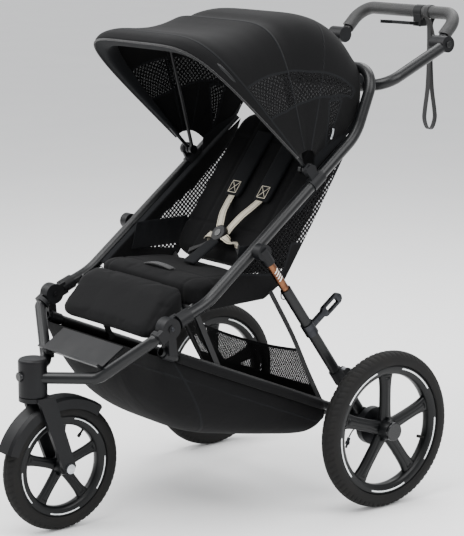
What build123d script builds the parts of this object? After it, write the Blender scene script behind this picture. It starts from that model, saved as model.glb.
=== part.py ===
from build123d import *
import os
from math import atan2, cos, degrees, hypot, radians, sin

os.makedirs("parts", exist_ok=True)

# Jogging stroller with three spoked wheels. Millimetres. +Z is up, the stroller drives towards -Y,
# +X is the child's left. Z = 0 is the ground, Y = 0 the rear axle, X = 0 the middle.

# ---- driving dimensions ----
wheelbase = 700          # rear axle to front axle
half_track = 335         # middle of the stroller to the middle of a rear tyre
rear_wheel_r = 190
rear_tyre_r = 22         # half the tyre's width
front_wheel_r = 152
front_tyre_r = 20
spoke_count = 5
caster_trail = 71        # steering axis ahead of the front axle

frame_half = 236         # middle of the stroller to a main tube's centre line
main_tube_r = 13.5
tube_wall = 1.8
rail_half = 232
rail_r = 11
leg_half = 265           # the rear legs run outside the main tubes
leg_r = 13
leg_inner_r = 10
fold_y, fold_z = -564, 499       # fold pin
lower_bend_y, lower_bend_z = -455, 541
upper_bend_y, upper_bend_z = -15, 885
arch_y, arch_z = 45, 1035        # cross tube behind the canopy
axle_tube_r = 12
stub_r = 6

handle_y, handle_z = 304, 1079   # tilt pin of the handlebar
handle_half = 177
grip_y, grip_z = 374, 1147       # middle of the grip's cross bar
grip_r = 16
bar_r = 11
carrier_half = 202               # U tube that carries the handlebar
carrier_y, carrier_z = 102, 988

canopy_y, canopy_z = -157, 815   # canopy hinge pin
canopy_r = 352                   # crown of the front shell
visor_r = 438                    # front edge of the peak
canopy_half = 233                # outer side of the front shell
cloth = 2.6                      # thickness of the sewn shells

seat_half = 205
back_length = 420
back_thick = 45
back_tilt = 54                   # degrees from level

gap = 0.3                        # clearance between pieces of different bodies
run = 0.05                       # radial clearance of a pin in its bore

axle_z = rear_wheel_r
front_axle_y = -wheelbase
steer_y = front_axle_y - caster_trail
rail_slope = -0.423


def rail_z(y):
    """Height of the lower rail's centre line."""
    return 426 + rail_slope * (y + 531)


def yz(x):
    """Plane at x whose own axes are the stroller's Y and Z."""
    return Plane.YZ.offset(x)


def tube_between(a, b, radius):
    """Round bar from point a to point b, added to the open part."""
    axis = Vector(*b) - Vector(*a)
    with BuildSketch(Plane(origin=a, z_dir=axis)) as section:
        Circle(radius)
    extrude(section.sketch, amount=axis.length)


def sweep_tube(points, radii, radius, wall=None):
    """Tube along straight runs joined by arcs, as its own part."""
    with BuildPart() as tube:
        with BuildLine() as path:
            if len(points) > 2:
                FilletPolyline(*points, radius=radii)
            else:
                Line(*points)
        route = path.wires()[0]
        with BuildSketch(Plane(origin=route @ 0, z_dir=route % 0)):
            Circle(radius)
            if wall:
                Circle(radius - wall, mode=Mode.SUBTRACT)
        sweep(path=route)
    return tube


def side_plate(points, x_low, x_high):
    """Flat plate with a side-view outline, between two x values, as its own part."""
    with BuildPart() as plate:
        with BuildSketch(yz(x_low)):
            with BuildLine():
                Polyline(*points, close=True)
            make_face()
        extrude(amount=x_high - x_low)
    return plate


pieces = {}


def keep(name, solid):
    pieces[name] = solid


def keep_pair(stem, solid):
    """A left piece and its mirror image on the right, as two nodes."""
    keep(stem + "_left", solid)
    with BuildPart() as other:
        mirror(solid.part, about=Plane.YZ)
    keep(stem + "_right", other)


def keep_both(name, solid):
    """A left piece and its mirror image on the right, as two solids of one node."""
    with BuildPart() as both:
        add(solid.part)
        mirror(about=Plane.YZ)
    keep(name, both)


# ---- wheels ----
def wheel(centre, outer_r, tyre_r, rim_half, hub_half, hub_r, bore_r):
    """Tyre and spoked rim of one wheel about an axle along X."""
    seat_r = outer_r - 32            # the tyre sits on the rim here
    rim_inner_r = seat_r - 24
    facing = Plane(origin=centre, x_dir=(0, 1, 0), z_dir=(1, 0, 0))
    across = Plane(origin=centre, x_dir=(1, 0, 0), z_dir=(0, -1, 0))
    spin = Axis(centre, (1, 0, 0))
    with BuildPart() as tyre:
        with BuildSketch(across):
            with Locations((0, outer_r - tyre_r)):
                Circle(tyre_r)
            with Locations((0, seat_r - tyre_r)):
                Rectangle(4 * tyre_r, 2 * tyre_r, mode=Mode.SUBTRACT)
        revolve(axis=spin)
    with BuildPart() as rim:
        with BuildSketch(across):
            with Locations((0, (seat_r + rim_inner_r) / 2)):
                Rectangle(2 * rim_half, seat_r - rim_inner_r)
        revolve(axis=spin)
        with BuildSketch(facing.offset(-hub_half)):
            Circle(hub_r)
        extrude(amount=2 * hub_half)
        with BuildSketch(facing.offset(-rim_half * 0.55)):
            with PolarLocations((hub_r + rim_inner_r) / 2, spoke_count, start_angle=90):
                Rectangle(rim_inner_r - hub_r + 8, 2 * rim_half)
        extrude(amount=rim_half * 1.1)
        with BuildSketch(facing.offset(-hub_half)):
            Circle(bore_r)
        extrude(amount=2 * hub_half, mode=Mode.SUBTRACT)
    return tyre, rim


rear_hub_half = 30
rear_centre = (half_track, 0, axle_z)
rear_tyre, rear_rim = wheel(rear_centre, rear_wheel_r, rear_tyre_r, 16, rear_hub_half, 24, stub_r + run)
keep_pair("rear_tyre", rear_tyre)
keep_pair("rear_rim", rear_rim)

cap_x = half_track + rear_hub_half
cap_depth = 7
with BuildPart() as hub_cap:
    with BuildSketch(Plane(origin=(cap_x, 0, axle_z), x_dir=(0, 1, 0), z_dir=(1, 0, 0))):
        Circle(22.5)
    extrude(amount=cap_depth)
    fillet(hub_cap.faces().sort_by(Axis.X)[-1].edges(), 3)
keep_pair("rear_hub_cap", hub_cap)

front_hub_half = 24
front_centre = (0, front_axle_y, front_wheel_r)
front_bolt_r = 5
front_tyre, front_rim = wheel(front_centre, front_wheel_r, front_tyre_r, 14, front_hub_half, 20,
                              front_bolt_r + run)
keep("front_tyre", front_tyre)
keep("front_rim", front_rim)

# ---- steering head, fork and mudguard ----
head_low, head_high, head_r = 330, 417, 33
with BuildPart() as head:
    with BuildSketch(Plane.XY.offset(head_low)):
        with Locations((0, steer_y)):
            Circle(head_r)
    extrude(amount=head_high - head_low)
    fillet(head.edges().filter_by(GeomType.CIRCLE).sort_by(Axis.Z)[-1], 8)
    with BuildSketch(Plane(origin=(0, steer_y, 378), x_dir=(1, 0, 0), z_dir=(0, -1, 0))):
        Circle(11 + gap)
    extrude(amount=head_r + 5, mode=Mode.SUBTRACT)
    with BuildSketch(Plane.XY.offset(head_low)):
        with Locations((0, steer_y)):
            Circle(8 + run)
    extrude(amount=30, mode=Mode.SUBTRACT)
keep("steering_head", head)

with BuildPart() as lock_button:
    with BuildSketch(Plane(origin=(0, steer_y - 8, 378), x_dir=(1, 0, 0), z_dir=(0, -1, 0))):
        Circle(11)
    extrude(amount=head_r - 2)
    fillet(lock_button.faces().sort_by(Axis.Y)[0].edges(), 2)
keep("swivel_lock_button", lock_button)

fork_inner = front_hub_half + 4
fork_blade = 11
crown_low = front_wheel_r + front_wheel_r + 14
with BuildPart() as fork:
    with BuildSketch(Plane.XY.offset(crown_low)):
        with Locations((0, steer_y)):
            Circle(head_r)
        with Locations((0, steer_y + 12)):
            Rectangle(2 * (fork_inner + fork_blade), 44)
    extrude(amount=head_low - 2 - crown_low)
    tube_between((0, steer_y, head_low - 4), (0, steer_y, head_low + 25), 8)
    with BuildSketch(yz(fork_inner)):
        with BuildLine():
            Polyline((steer_y - 10, head_low - 2), (steer_y + 34, head_low - 2),
                     (front_axle_y + 17, front_wheel_r + 4), (front_axle_y + 8, front_wheel_r - 15),
                     (front_axle_y - 10, front_wheel_r - 13), (front_axle_y - 19, front_wheel_r + 6),
                     close=True)
        make_face()
    extrude(amount=fork_blade)
    with BuildSketch(yz(-fork_inner - fork_blade)):
        with BuildLine():
            Polyline((steer_y - 10, head_low - 2), (steer_y + 34, head_low - 2),
                     (front_axle_y + 17, front_wheel_r + 4), (front_axle_y + 8, front_wheel_r - 15),
                     (front_axle_y - 10, front_wheel_r - 13), (front_axle_y - 19, front_wheel_r + 6),
                     close=True)
        make_face()
    extrude(amount=fork_blade)
    with BuildSketch(yz(-60)):
        with Locations((front_axle_y, front_wheel_r)):
            Circle(front_bolt_r)
    extrude(amount=120, mode=Mode.SUBTRACT)
keep("front_fork", fork)

bolt_half = fork_inner + fork_blade + 5
with BuildPart() as front_bolt:
    tube_between((-bolt_half + 5, front_axle_y, front_wheel_r),
                 (bolt_half - 5, front_axle_y, front_wheel_r), front_bolt_r)
    for side in (-1, 1):
        with BuildSketch(yz(side * (bolt_half - 2.5) - 2.5)):
            with Locations((front_axle_y, front_wheel_r)):
                Circle(11)
        extrude(amount=5)
keep("front_axle_bolt", front_bolt)

guard_r = front_wheel_r + 8
with BuildPart() as guard:
    with BuildSketch(Plane(origin=front_centre, x_dir=(1, 0, 0), z_dir=(0, -1, 0))):
        with BuildLine():
            half = fork_inner - gap
            Polyline((-half, guard_r - 22), (-half, guard_r), (-half + 8, guard_r + 5.5),
                     (half - 8, guard_r + 5.5), (half, guard_r), (half, guard_r - 22),
                     (half - 3, guard_r - 22), (half - 3, guard_r - 1.5), (half - 9, guard_r + 2.5),
                     (-half + 9, guard_r + 2.5), (-half + 3, guard_r - 1.5),
                     (-half + 3, guard_r - 22), close=True)
        make_face()
    revolve(axis=Axis(front_centre, (1, 0, 0)), revolution_arc=108)
guard_turn = Location((0, front_axle_y, front_wheel_r)) * Location((0, 0, 0), (-38, 0, 0)) * \
    Location((0, -front_axle_y, -front_wheel_r))
with BuildPart() as mudguard:
    add(guard.part.moved(guard_turn))
    with BuildSketch(Plane.XY.offset(crown_low)):
        with Locations((0, steer_y + 10)):
            Rectangle(2 * fork_inner, 60)
    extrude(amount=40, mode=Mode.SUBTRACT)
keep("front_mudguard", mudguard)

# ---- fold joints ----
split_x = frame_half
disc_r = 24
disc_half = 15
main_dir = Vector(0, lower_bend_y - fold_y, lower_bend_z - fold_z).normalized()
fold_pin = (frame_half, fold_y, fold_z)
front_knee = (rail_half, fold_y - 36, fold_z - 25)
front_bend = (108, -665, 374)
front_end = (20, steer_y + 8, 373)
front_dir = (Vector(*front_knee) - Vector(*fold_pin)).normalized()
clamp_y = fold_y + 4
rail_dir = Vector(0, 1, rail_slope).normalized()


front_tube_start, front_sleeve_end = 30, 38.8    # from the fold pin; the sleeve ends before the tube bends


def along(start, direction, distance):
    """Point at a distance from start along a direction."""
    return tuple(Vector(*start) + direction * distance)


with BuildPart() as joint_upper:
    with BuildSketch(yz(split_x - disc_half)):
        with Locations((fold_y, fold_z)):
            Circle(disc_r)
    extrude(amount=disc_half - gap / 2)
    tube_between(along(fold_pin, main_dir, disc_r + 4), along(fold_pin, main_dir, 62), main_tube_r + 3.5)
    with BuildSketch(yz(split_x - disc_half)):
        with Locations(Location(along((fold_y, fold_z, 0), Vector(main_dir.Y, main_dir.Z, 0), 22),
                                (0, 0, degrees(atan2(main_dir.Z, main_dir.Y))))):
            Rectangle(28, 30)
    extrude(amount=disc_half - gap / 2)
    with BuildSketch(yz(split_x - disc_half - 5)):
        with Locations((fold_y, fold_z)):
            Circle(5 + run)
    extrude(amount=disc_half + 10, mode=Mode.SUBTRACT)
    with BuildSketch(Plane(origin=along(fold_pin, main_dir, 34), z_dir=main_dir)):
        Circle(main_tube_r)
    extrude(amount=40, mode=Mode.SUBTRACT)

with BuildPart() as joint_lower:
    with BuildSketch(yz(split_x + gap / 2)):
        with Locations((fold_y, fold_z)):
            Circle(disc_r)
        with BuildLine():
            Polyline((fold_y - 11, fold_z), (fold_y + 9, fold_z), (clamp_y + 11, rail_z(clamp_y)),
                     (clamp_y - 11, rail_z(clamp_y)), close=True)
        make_face()
    extrude(amount=disc_half - gap / 2)
    tube_between(along(fold_pin, front_dir, disc_r + 4), along(fold_pin, front_dir, front_sleeve_end),
                 main_tube_r + 3.5)
    with BuildSketch(yz(split_x + gap / 2)):
        with Locations(Location((fold_y - 18, fold_z - 13, 0), (0, 0, 35))):
            Rectangle(32, 28)
    extrude(amount=disc_half - gap / 2)
    tube_between((rail_half, clamp_y - 14, rail_z(clamp_y - 14)),
                 (rail_half, clamp_y + 14, rail_z(clamp_y + 14)), rail_r + 3.5)
    with BuildSketch(Plane(origin=along(fold_pin, front_dir, front_tube_start), z_dir=front_dir)):
        Circle(main_tube_r)
    extrude(amount=40, mode=Mode.SUBTRACT)
    with BuildSketch(Plane(origin=(rail_half, clamp_y - 40, rail_z(clamp_y - 40)), z_dir=rail_dir)):
        Circle(rail_r)
    extrude(amount=80, mode=Mode.SUBTRACT)
    tube_between((split_x - disc_half - 3, fold_y, fold_z), (split_x + 1, fold_y, fold_z), 5)
    tube_between((split_x + disc_half - 1, fold_y, fold_z), (split_x + disc_half + 2.5, fold_y, fold_z), 9)

keep_both("fold_joints_upper", joint_upper)
keep_both("fold_joints_lower", joint_lower)

# ---- front tubes, footrest, lower rails ----
front_start = along(fold_pin, front_dir, front_tube_start)
front_tube_whole = sweep_tube([front_start, front_knee, front_bend, front_end], [12, 45],
                              main_tube_r, tube_wall)
with BuildPart() as front_tube:
    add(front_tube_whole.part)
    with BuildSketch(Plane.XY.offset(head_low)):
        with Locations((0, steer_y)):
            Circle(head_r)
    extrude(amount=head_high - head_low, mode=Mode.SUBTRACT)
keep_both("front_tubes", front_tube)

foot_half = 122
foot_rear_y, foot_rear_z = -606, 441
foot_front_y, foot_front_z = -664, 404
front_cover = sweep_tube([front_start, front_knee, front_bend, front_end], [12, 45], main_tube_r)
with BuildPart() as footrest:
    with BuildSketch(yz(-foot_half)):
        with BuildLine():
            Polyline((foot_rear_y, foot_rear_z), (foot_front_y, foot_front_z),
                     (foot_front_y - 12, foot_front_z + 8), (foot_front_y - 16, foot_front_z + 4),
                     (foot_front_y - 2, foot_front_z - 6), (foot_rear_y + 3, foot_rear_z - 6), close=True)
        make_face()
    extrude(amount=2 * foot_half)
    for side in (-1, 1):
        with BuildSketch(Plane.XY.offset(front_bend[2] + 4)):
            with Locations((side * (foot_half - 9), foot_front_y + 8)):
                Rectangle(18, 22)
        extrude(amount=26)
    add(front_cover.part, mode=Mode.SUBTRACT)
    mirror(front_cover.part, about=Plane.YZ, mode=Mode.SUBTRACT)
keep("footrest", footrest)

rail_front_y, rail_rear_y = -582, -52
rail = sweep_tube([(rail_half, rail_front_y, rail_z(rail_front_y)),
                   (rail_half, rail_rear_y, rail_z(rail_rear_y))], [], rail_r, tube_wall)
keep_both("lower_rails", rail)

# ---- rear axle ----
leg_foot_y, leg_foot_z = -13, 216
plate_in, plate_out = rail_half + rail_r + 1, leg_half - leg_r - 2
with BuildPart() as axle_bracket:
    with BuildSketch(yz(plate_in)):
        with BuildLine():
            Polyline((rail_rear_y - 26, rail_z(rail_rear_y) + 26), (leg_foot_y + 2, leg_foot_z + 18),
                     (leg_foot_y + 22, leg_foot_z), (24, axle_z - 8), (10, axle_z - 20),
                     (-14, axle_z - 17), (rail_rear_y - 18, rail_z(rail_rear_y) - 14), close=True)
        make_face()
    extrude(amount=plate_out - plate_in)
    tube_between((rail_half, rail_rear_y - 30, rail_z(rail_rear_y - 30)),
                 (rail_half, rail_rear_y, rail_z(rail_rear_y)), rail_r + 3)
    with BuildSketch(Plane(origin=(rail_half, rail_rear_y - 60, rail_z(rail_rear_y - 60)), z_dir=rail_dir)):
        Circle(rail_r)
    extrude(amount=100, mode=Mode.SUBTRACT)
    tube_between((plate_in - 16, 0, axle_z), (plate_in + 1, 0, axle_z), axle_tube_r + 3)
    tube_between((plate_out - 1, leg_foot_y, leg_foot_z),
                 (leg_half + leg_r + 1, leg_foot_y, leg_foot_z), 6)
    with BuildSketch(yz(plate_in - 20)):
        with Locations((0, axle_z)):
            Circle(axle_tube_r)
    extrude(amount=20 + 1, mode=Mode.SUBTRACT)
    with BuildSketch(yz(plate_in - 1)):
        with Locations((0, axle_z)):
            Circle(stub_r)
    extrude(amount=30, mode=Mode.SUBTRACT)
keep_both("rear_axle_brackets", axle_bracket)

with BuildPart() as axle_tube:
    tube_between((-plate_in - 1, 0, axle_z), (plate_in + 1, 0, axle_z), axle_tube_r)
    tube_between((-cap_x + 2, 0, axle_z), (cap_x - 2, 0, axle_z), stub_r)
keep("rear_axle", axle_tube)

drum_in, drum_out, drum_r = leg_half + leg_r + 4, half_track - rear_hub_half - 1.5, 46
with BuildPart() as drums:
    with BuildSketch(yz(drum_in)):
        with Locations((0, axle_z)):
            Circle(drum_r)
    extrude(amount=drum_out - drum_in)
    fillet(drums.edges().group_by(Axis.X)[0], 4)
    with BuildSketch(yz(drum_in - 8)):
        with Locations((8, axle_z - 26)):
            Rectangle(26, 14)
    extrude(amount=10)
    with BuildSketch(yz(drum_in - 1)):
        with Locations((0, axle_z)):
            Circle(stub_r)
    extrude(amount=drum_out - drum_in + 2, mode=Mode.SUBTRACT)
    mirror(about=Plane.YZ)
keep("brake_drums", drums)

# ---- rear legs ----
leg_top_y, leg_top_z = -318, 645
leg_foot = (leg_half, leg_foot_y, leg_foot_z)
leg_dir = Vector(0, leg_top_y - leg_foot_y, leg_top_z - leg_foot_z).normalized()
leg_length = hypot(leg_top_y - leg_foot_y, leg_top_z - leg_foot_z)
sleeve_length = leg_length - 115
foot_thick = 24
with BuildPart() as leg:
    tube_between(along(leg_foot, leg_dir, 4), along(leg_foot, leg_dir, sleeve_length), leg_r)
    with BuildSketch(yz(leg_half - foot_thick / 2)):
        with Locations((leg_foot_y, leg_foot_z)):
            Circle(17)
    extrude(amount=foot_thick)
    with BuildSketch(Plane(origin=along(leg_foot, leg_dir, 40), z_dir=leg_dir)):
        Circle(leg_inner_r)
    extrude(amount=leg_length, mode=Mode.SUBTRACT)
    with BuildSketch(yz(leg_half - leg_r - 1)):
        with Locations((leg_foot_y, leg_foot_z)):
            Circle(6 + run)
    extrude(amount=2 * leg_r + 2, mode=Mode.SUBTRACT)
keep_both("rear_legs", leg)

with BuildPart() as leg_inner:
    tube_between(along(leg_foot, leg_dir, 40), along(leg_foot, leg_dir, leg_length - 16), leg_inner_r)
keep_both("leg_inner_tubes", leg_inner)

shoe_in = frame_half + main_tube_r + gap
with BuildPart() as shoe:
    tube_between(along(leg_foot, leg_dir, leg_length - 34), along(leg_foot, leg_dir, leg_length + 8), leg_r)
    with BuildSketch(yz(shoe_in)):
        with Locations((leg_top_y, leg_top_z)):
            Circle(19)
    extrude(amount=leg_half + 8 - shoe_in)
    with BuildSketch(Plane(origin=along(leg_foot, leg_dir, leg_length - 60), z_dir=leg_dir)):
        Circle(leg_inner_r)
    extrude(amount=44, mode=Mode.SUBTRACT)
keep_both("leg_slide_shoes", shoe)

hook_at = 285                    # along the leg
hook_start = along(leg_foot, leg_dir, hook_at)
hook_y, hook_z = hook_start[1], hook_start[2]
with BuildPart() as hook:
    with BuildSketch(yz(leg_half - 5)):
        with Locations(Location((hook_y + 24, hook_z + 18), (0, 0, 36))):
            Rectangle(40, 15)
        with Locations(Location((hook_y + 66, hook_z + 48), (0, 0, 36))):
            SlotCenterToCenter(42, 27)
        with Locations(Location((hook_y + 66, hook_z + 48), (0, 0, 36))):
            Rectangle(36, 15, mode=Mode.SUBTRACT)
    extrude(amount=10)
    tube_between(along(leg_foot, leg_dir, hook_at - 16), along(leg_foot, leg_dir, hook_at + 16), leg_r + 3)
    with BuildSketch(Plane(origin=along(leg_foot, leg_dir, hook_at - 40), z_dir=leg_dir)):
        Circle(leg_r)
    extrude(amount=80, mode=Mode.SUBTRACT)
keep("transport_lock_hook", hook)

pedal_at = 128                   # along the leg
pedal_seat = along(leg_foot, leg_dir, pedal_at)
pedal_y, pedal_z = pedal_seat[1] + 22, pedal_seat[2] + 10
with BuildPart() as pedal_mount:
    tube_between(along(leg_foot, leg_dir, pedal_at - 18), along(leg_foot, leg_dir, pedal_at + 18), leg_r + 3)
    with BuildSketch(yz(leg_half - 11)):
        with Locations((pedal_y, pedal_z)):
            Circle(8)
        with Locations((pedal_y - 8, pedal_z - 4)):
            Rectangle(16, 16)
    extrude(amount=22)
    with BuildSketch(yz(leg_half - 7)):
        with Locations((pedal_y, pedal_z)):
            Circle(11)
    extrude(amount=14, mode=Mode.SUBTRACT)
    with BuildSketch(Plane(origin=along(leg_foot, leg_dir, pedal_at - 40), z_dir=leg_dir)):
        Circle(leg_r)
    extrude(amount=80, mode=Mode.SUBTRACT)
    tube_between((leg_half - 11, pedal_y, pedal_z), (leg_half + 11, pedal_y, pedal_z), 3)
keep("brake_pedal_mount", pedal_mount)

with BuildPart() as pedal:
    with BuildSketch(yz(leg_half - 7 + gap)):
        with Locations((pedal_y, pedal_z)):
            Circle(7)
        with BuildLine():
            Polyline((pedal_y, pedal_z - 5), (pedal_y + 34, pedal_z - 17), (pedal_y + 38, pedal_z - 12),
                     (pedal_y + 36, pedal_z - 6), (pedal_y, pedal_z + 6), close=True)
        make_face()
    extrude(amount=14 - 2 * gap)
    with BuildSketch(yz(leg_half - 16)):
        with Locations(Location((pedal_y + 31, pedal_z - 9), (0, 0, -17))):
            Rectangle(20, 11)
    extrude(amount=32)
    with BuildSketch(yz(leg_half - 12)):
        with Locations((pedal_y, pedal_z)):
            Circle(3 + run)
    extrude(amount=24, mode=Mode.SUBTRACT)
keep("brake_pedal", pedal)

# ---- upper frame ----
arch_joint_x = frame_half - 70
main_start = along(fold_pin, main_dir, 34)
main_tube = sweep_tube([main_start, (frame_half, lower_bend_y, lower_bend_z),
                        (frame_half, upper_bend_y, upper_bend_z), (frame_half, arch_y, arch_z),
                        (arch_joint_x, arch_y, arch_z)], [170, 120, 58], main_tube_r, tube_wall)
keep_both("main_tubes", main_tube)
arch = sweep_tube([(-arch_joint_x, arch_y, arch_z), (arch_joint_x, arch_y, arch_z)], [],
                  main_tube_r, tube_wall)
keep("arch_tube", arch)

carrier_r = 14
hub_r = 20
hub_face = 12                    # half thickness of each tilt hub
carrier = sweep_tube([(carrier_half, handle_y - 17, handle_z - 9), (carrier_half, carrier_y, carrier_z),
                      (-carrier_half, carrier_y, carrier_z), (-carrier_half, handle_y - 17, handle_z - 9)],
                     [52, 52], carrier_r, tube_wall)
with BuildPart() as carrier_tube:
    add(carrier.part)
    for side in (-1, 1):
        with BuildSketch(yz(side * carrier_half - hub_face - 3)):
            with Locations((handle_y, handle_z)):
                Circle(hub_r)
        extrude(amount=2 * hub_face + 6, mode=Mode.SUBTRACT)
keep("handle_carrier_tube", carrier_tube)

hub_split = (handle_half + carrier_half) / 2
with BuildPart() as lower_hubs:
    with BuildSketch(yz(hub_split + gap / 2)):
        with Locations((handle_y, handle_z)):
            Circle(hub_r)
    extrude(amount=2 * hub_face - 0.5)
    with BuildSketch(yz(hub_split + 6)):
        with Locations((handle_y, handle_z)):
            Circle(8 + gap)
    extrude(amount=30, mode=Mode.SUBTRACT)
    tube_between((hub_split - 8, handle_y, handle_z), (hub_split + 1, handle_y, handle_z), 4 - run)
    mirror(about=Plane.YZ)
keep("tilt_hubs_lower", lower_hubs)

with BuildPart() as tilt_button:
    with BuildSketch(yz(hub_split + 10)):
        with Locations((handle_y, handle_z)):
            Circle(8)
    extrude(amount=2 * hub_face - 7)
    fillet(tilt_button.faces().sort_by(Axis.X)[-1].edges(), 1.5)
keep_pair("tilt_button", tilt_button)

yoke_x, yoke_half = 120, 24
with BuildPart() as yokes:
    with BuildSketch(yz(yoke_x - yoke_half)):
        with Locations((arch_y, arch_z)):
            Circle(main_tube_r + 3.5)
        with Locations((carrier_y, carrier_z)):
            Circle(carrier_r + 3.5)
        with Locations(Location(((arch_y + carrier_y) / 2, (arch_z + carrier_z) / 2),
                                (0, 0, degrees(atan2(carrier_z - arch_z, carrier_y - arch_y))))):
            Rectangle(hypot(carrier_y - arch_y, carrier_z - arch_z), 20)
        with Locations((arch_y, arch_z)):
            Circle(main_tube_r, mode=Mode.SUBTRACT)
        with Locations((carrier_y, carrier_z)):
            Circle(carrier_r, mode=Mode.SUBTRACT)
    extrude(amount=2 * yoke_half)
    mirror(about=Plane.YZ)
keep("handle_yokes", yokes)

# ---- handlebar ----
hub_in = hub_split - gap / 2 - 2 * hub_face
with BuildPart() as upper_hubs:
    with BuildSketch(yz(hub_in)):
        with Locations((handle_y, handle_z)):
            Circle(hub_r)
    extrude(amount=2 * hub_face)
    with BuildSketch(yz(hub_split - 8)):
        with Locations((handle_y, handle_z)):
            Circle(4)
    extrude(amount=20, mode=Mode.SUBTRACT)
    mirror(about=Plane.YZ)
keep("tilt_hubs_upper", upper_hubs)

bar_start = (handle_half, handle_y, handle_z)
bar_points = [bar_start, (handle_half, grip_y, grip_z), (-handle_half, grip_y, grip_z),
              (-handle_half, handle_y, handle_z)]
bar_bend = 46
bar = sweep_tube(bar_points, [bar_bend, bar_bend], bar_r, tube_wall)
with BuildPart() as handlebar:
    add(bar.part)
    for side in (-1, 1):
        with BuildSketch(yz(side * handle_half - 16)):
            with Locations((handle_y, handle_z)):
                Circle(hub_r)
        extrude(amount=32, mode=Mode.SUBTRACT)
keep("handlebar", handlebar)

clamp_x, clamp_half = 42, 14
grip_whole = sweep_tube(bar_points, [bar_bend, bar_bend], grip_r)
bar_core = sweep_tube(bar_points, [bar_bend, bar_bend], bar_r)
with BuildPart() as grip:
    add(grip_whole.part)
    add(bar_core.part, mode=Mode.SUBTRACT)
    for side in (-1, 1):
        with BuildSketch(yz(side * handle_half - 20)):
            with Locations((handle_y, handle_z)):
                Circle(hub_r + 8)
        extrude(amount=40, mode=Mode.SUBTRACT)
    with BuildSketch(yz(clamp_x - clamp_half)):
        with Locations((grip_y, grip_z)):
            Circle(grip_r + 2)
    extrude(amount=2 * clamp_half, mode=Mode.SUBTRACT)
keep("handle_grip", grip)

lever_y, lever_z = grip_y - 4, grip_z - 30
with BuildPart() as lever_clamp:
    with BuildSketch(yz(clamp_x - clamp_half + 0.5)):
        with Locations((grip_y, grip_z)):
            Circle(grip_r + 1)
        with Locations((lever_y, (grip_z + lever_z) / 2 - 3)):
            Rectangle(22, grip_z - lever_z + 6)
        with Locations((grip_y, grip_z)):
            Circle(bar_r, mode=Mode.SUBTRACT)
    extrude(amount=2 * clamp_half - 1)
    with BuildSketch(Plane.XY.offset(lever_z - 4.5)):
        with Locations((clamp_x - 8, lever_y)):
            Rectangle(30, 40)
    extrude(amount=9, mode=Mode.SUBTRACT)
    tube_between((clamp_x, lever_y, lever_z - 8), (clamp_x, lever_y, lever_z + 8), 2.5)
keep("brake_lever_clamp", lever_clamp)

with BuildPart() as lever:
    with BuildSketch(Plane.XY.offset(lever_z - 4)):
        with Locations((clamp_x, lever_y)):
            Circle(7)
        with BuildLine():
            Polyline((clamp_x + 3, lever_y - 6), (clamp_x - 22, lever_y - 14), (-40, lever_y - 20),
                     (-72, lever_y - 30), (-78, lever_y - 26), (-70, lever_y - 18), (-34, lever_y - 9),
                     (clamp_x - 20, lever_y), (clamp_x - 2, lever_y + 6), close=True)
        make_face()
    extrude(amount=8)
    with BuildSketch(Plane.XY.offset(lever_z - 6)):
        with Locations((clamp_x, lever_y)):
            Circle(2.5 + run)
    extrude(amount=12, mode=Mode.SUBTRACT)
keep("brake_lever", lever)

cable_r = 2.5
cable_points = [(clamp_x + clamp_half + 1.3, lever_y - 10, lever_z + 11),
                (clamp_x + 30, lever_y - 19, lever_z + 21), (clamp_x + 62, lever_y - 23, lever_z + 13),
                (clamp_x + 94, lever_y - 44, lever_z - 13), (hub_in - 2, handle_y + 2, handle_z + 9)]
cable = sweep_tube(cable_points, [20, 40, 60], cable_r)
keep("brake_cable", cable)

strap_x = 66
strap_low = grip_z - 292
with BuildPart() as wrist_strap:
    with BuildSketch(yz(strap_x)):
        with BuildLine():
            Polyline((grip_y - 3, strap_low), (grip_y + 3, strap_low), (grip_y + 3, grip_z - grip_r - gap),
                     (grip_y - 3, grip_z - grip_r - gap), close=True)
        make_face()
    extrude(amount=16)
keep("wrist_strap", wrist_strap)

# ---- seat ----
seat_front_y, seat_rear_y = -468, -266
seat_ridge_y, seat_ridge_z, seat_rear_z = seat_front_y + 30, 582, 572


def seat_top(y):
    """Height of the cushion's top behind its front ridge."""
    return seat_rear_z + (seat_rear_y - y) * (seat_ridge_z - seat_rear_z) / (seat_rear_y - seat_ridge_y)


cushion_points = [(seat_rear_y, 505), (seat_front_y + 28, 521), (seat_front_y, 514), (seat_front_y, 577),
                  (seat_ridge_y, seat_ridge_z), (seat_rear_y, seat_rear_z)]
seat_cushion = side_plate(cushion_points, -seat_half, seat_half)
keep("seat_cushion", seat_cushion)

calf_half = 158
calf_points = [(seat_front_y - gap, 514), (seat_front_y - 22, 505), (-556, 455), (-572, 452), (-590, 466),
               (-586, 478), (-520, 556), (seat_front_y - 22, 572), (seat_front_y - gap, 577)]
calf_pad = side_plate(calf_points, -calf_half, calf_half)
keep("calf_rest", calf_pad)

back_foot_y, back_foot_z = -250, 574
back_dir = Vector(0, cos(radians(back_tilt)), sin(radians(back_tilt)))
back_out = Vector(0, sin(radians(back_tilt)), -cos(radians(back_tilt)))
back_foot = Vector(0, back_foot_y, back_foot_z)


def on_back(up, out):
    """Side-view point up along the backrest and out behind its front face."""
    spot = back_foot + back_dir * up + back_out * out
    return (spot.Y, spot.Z)


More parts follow.
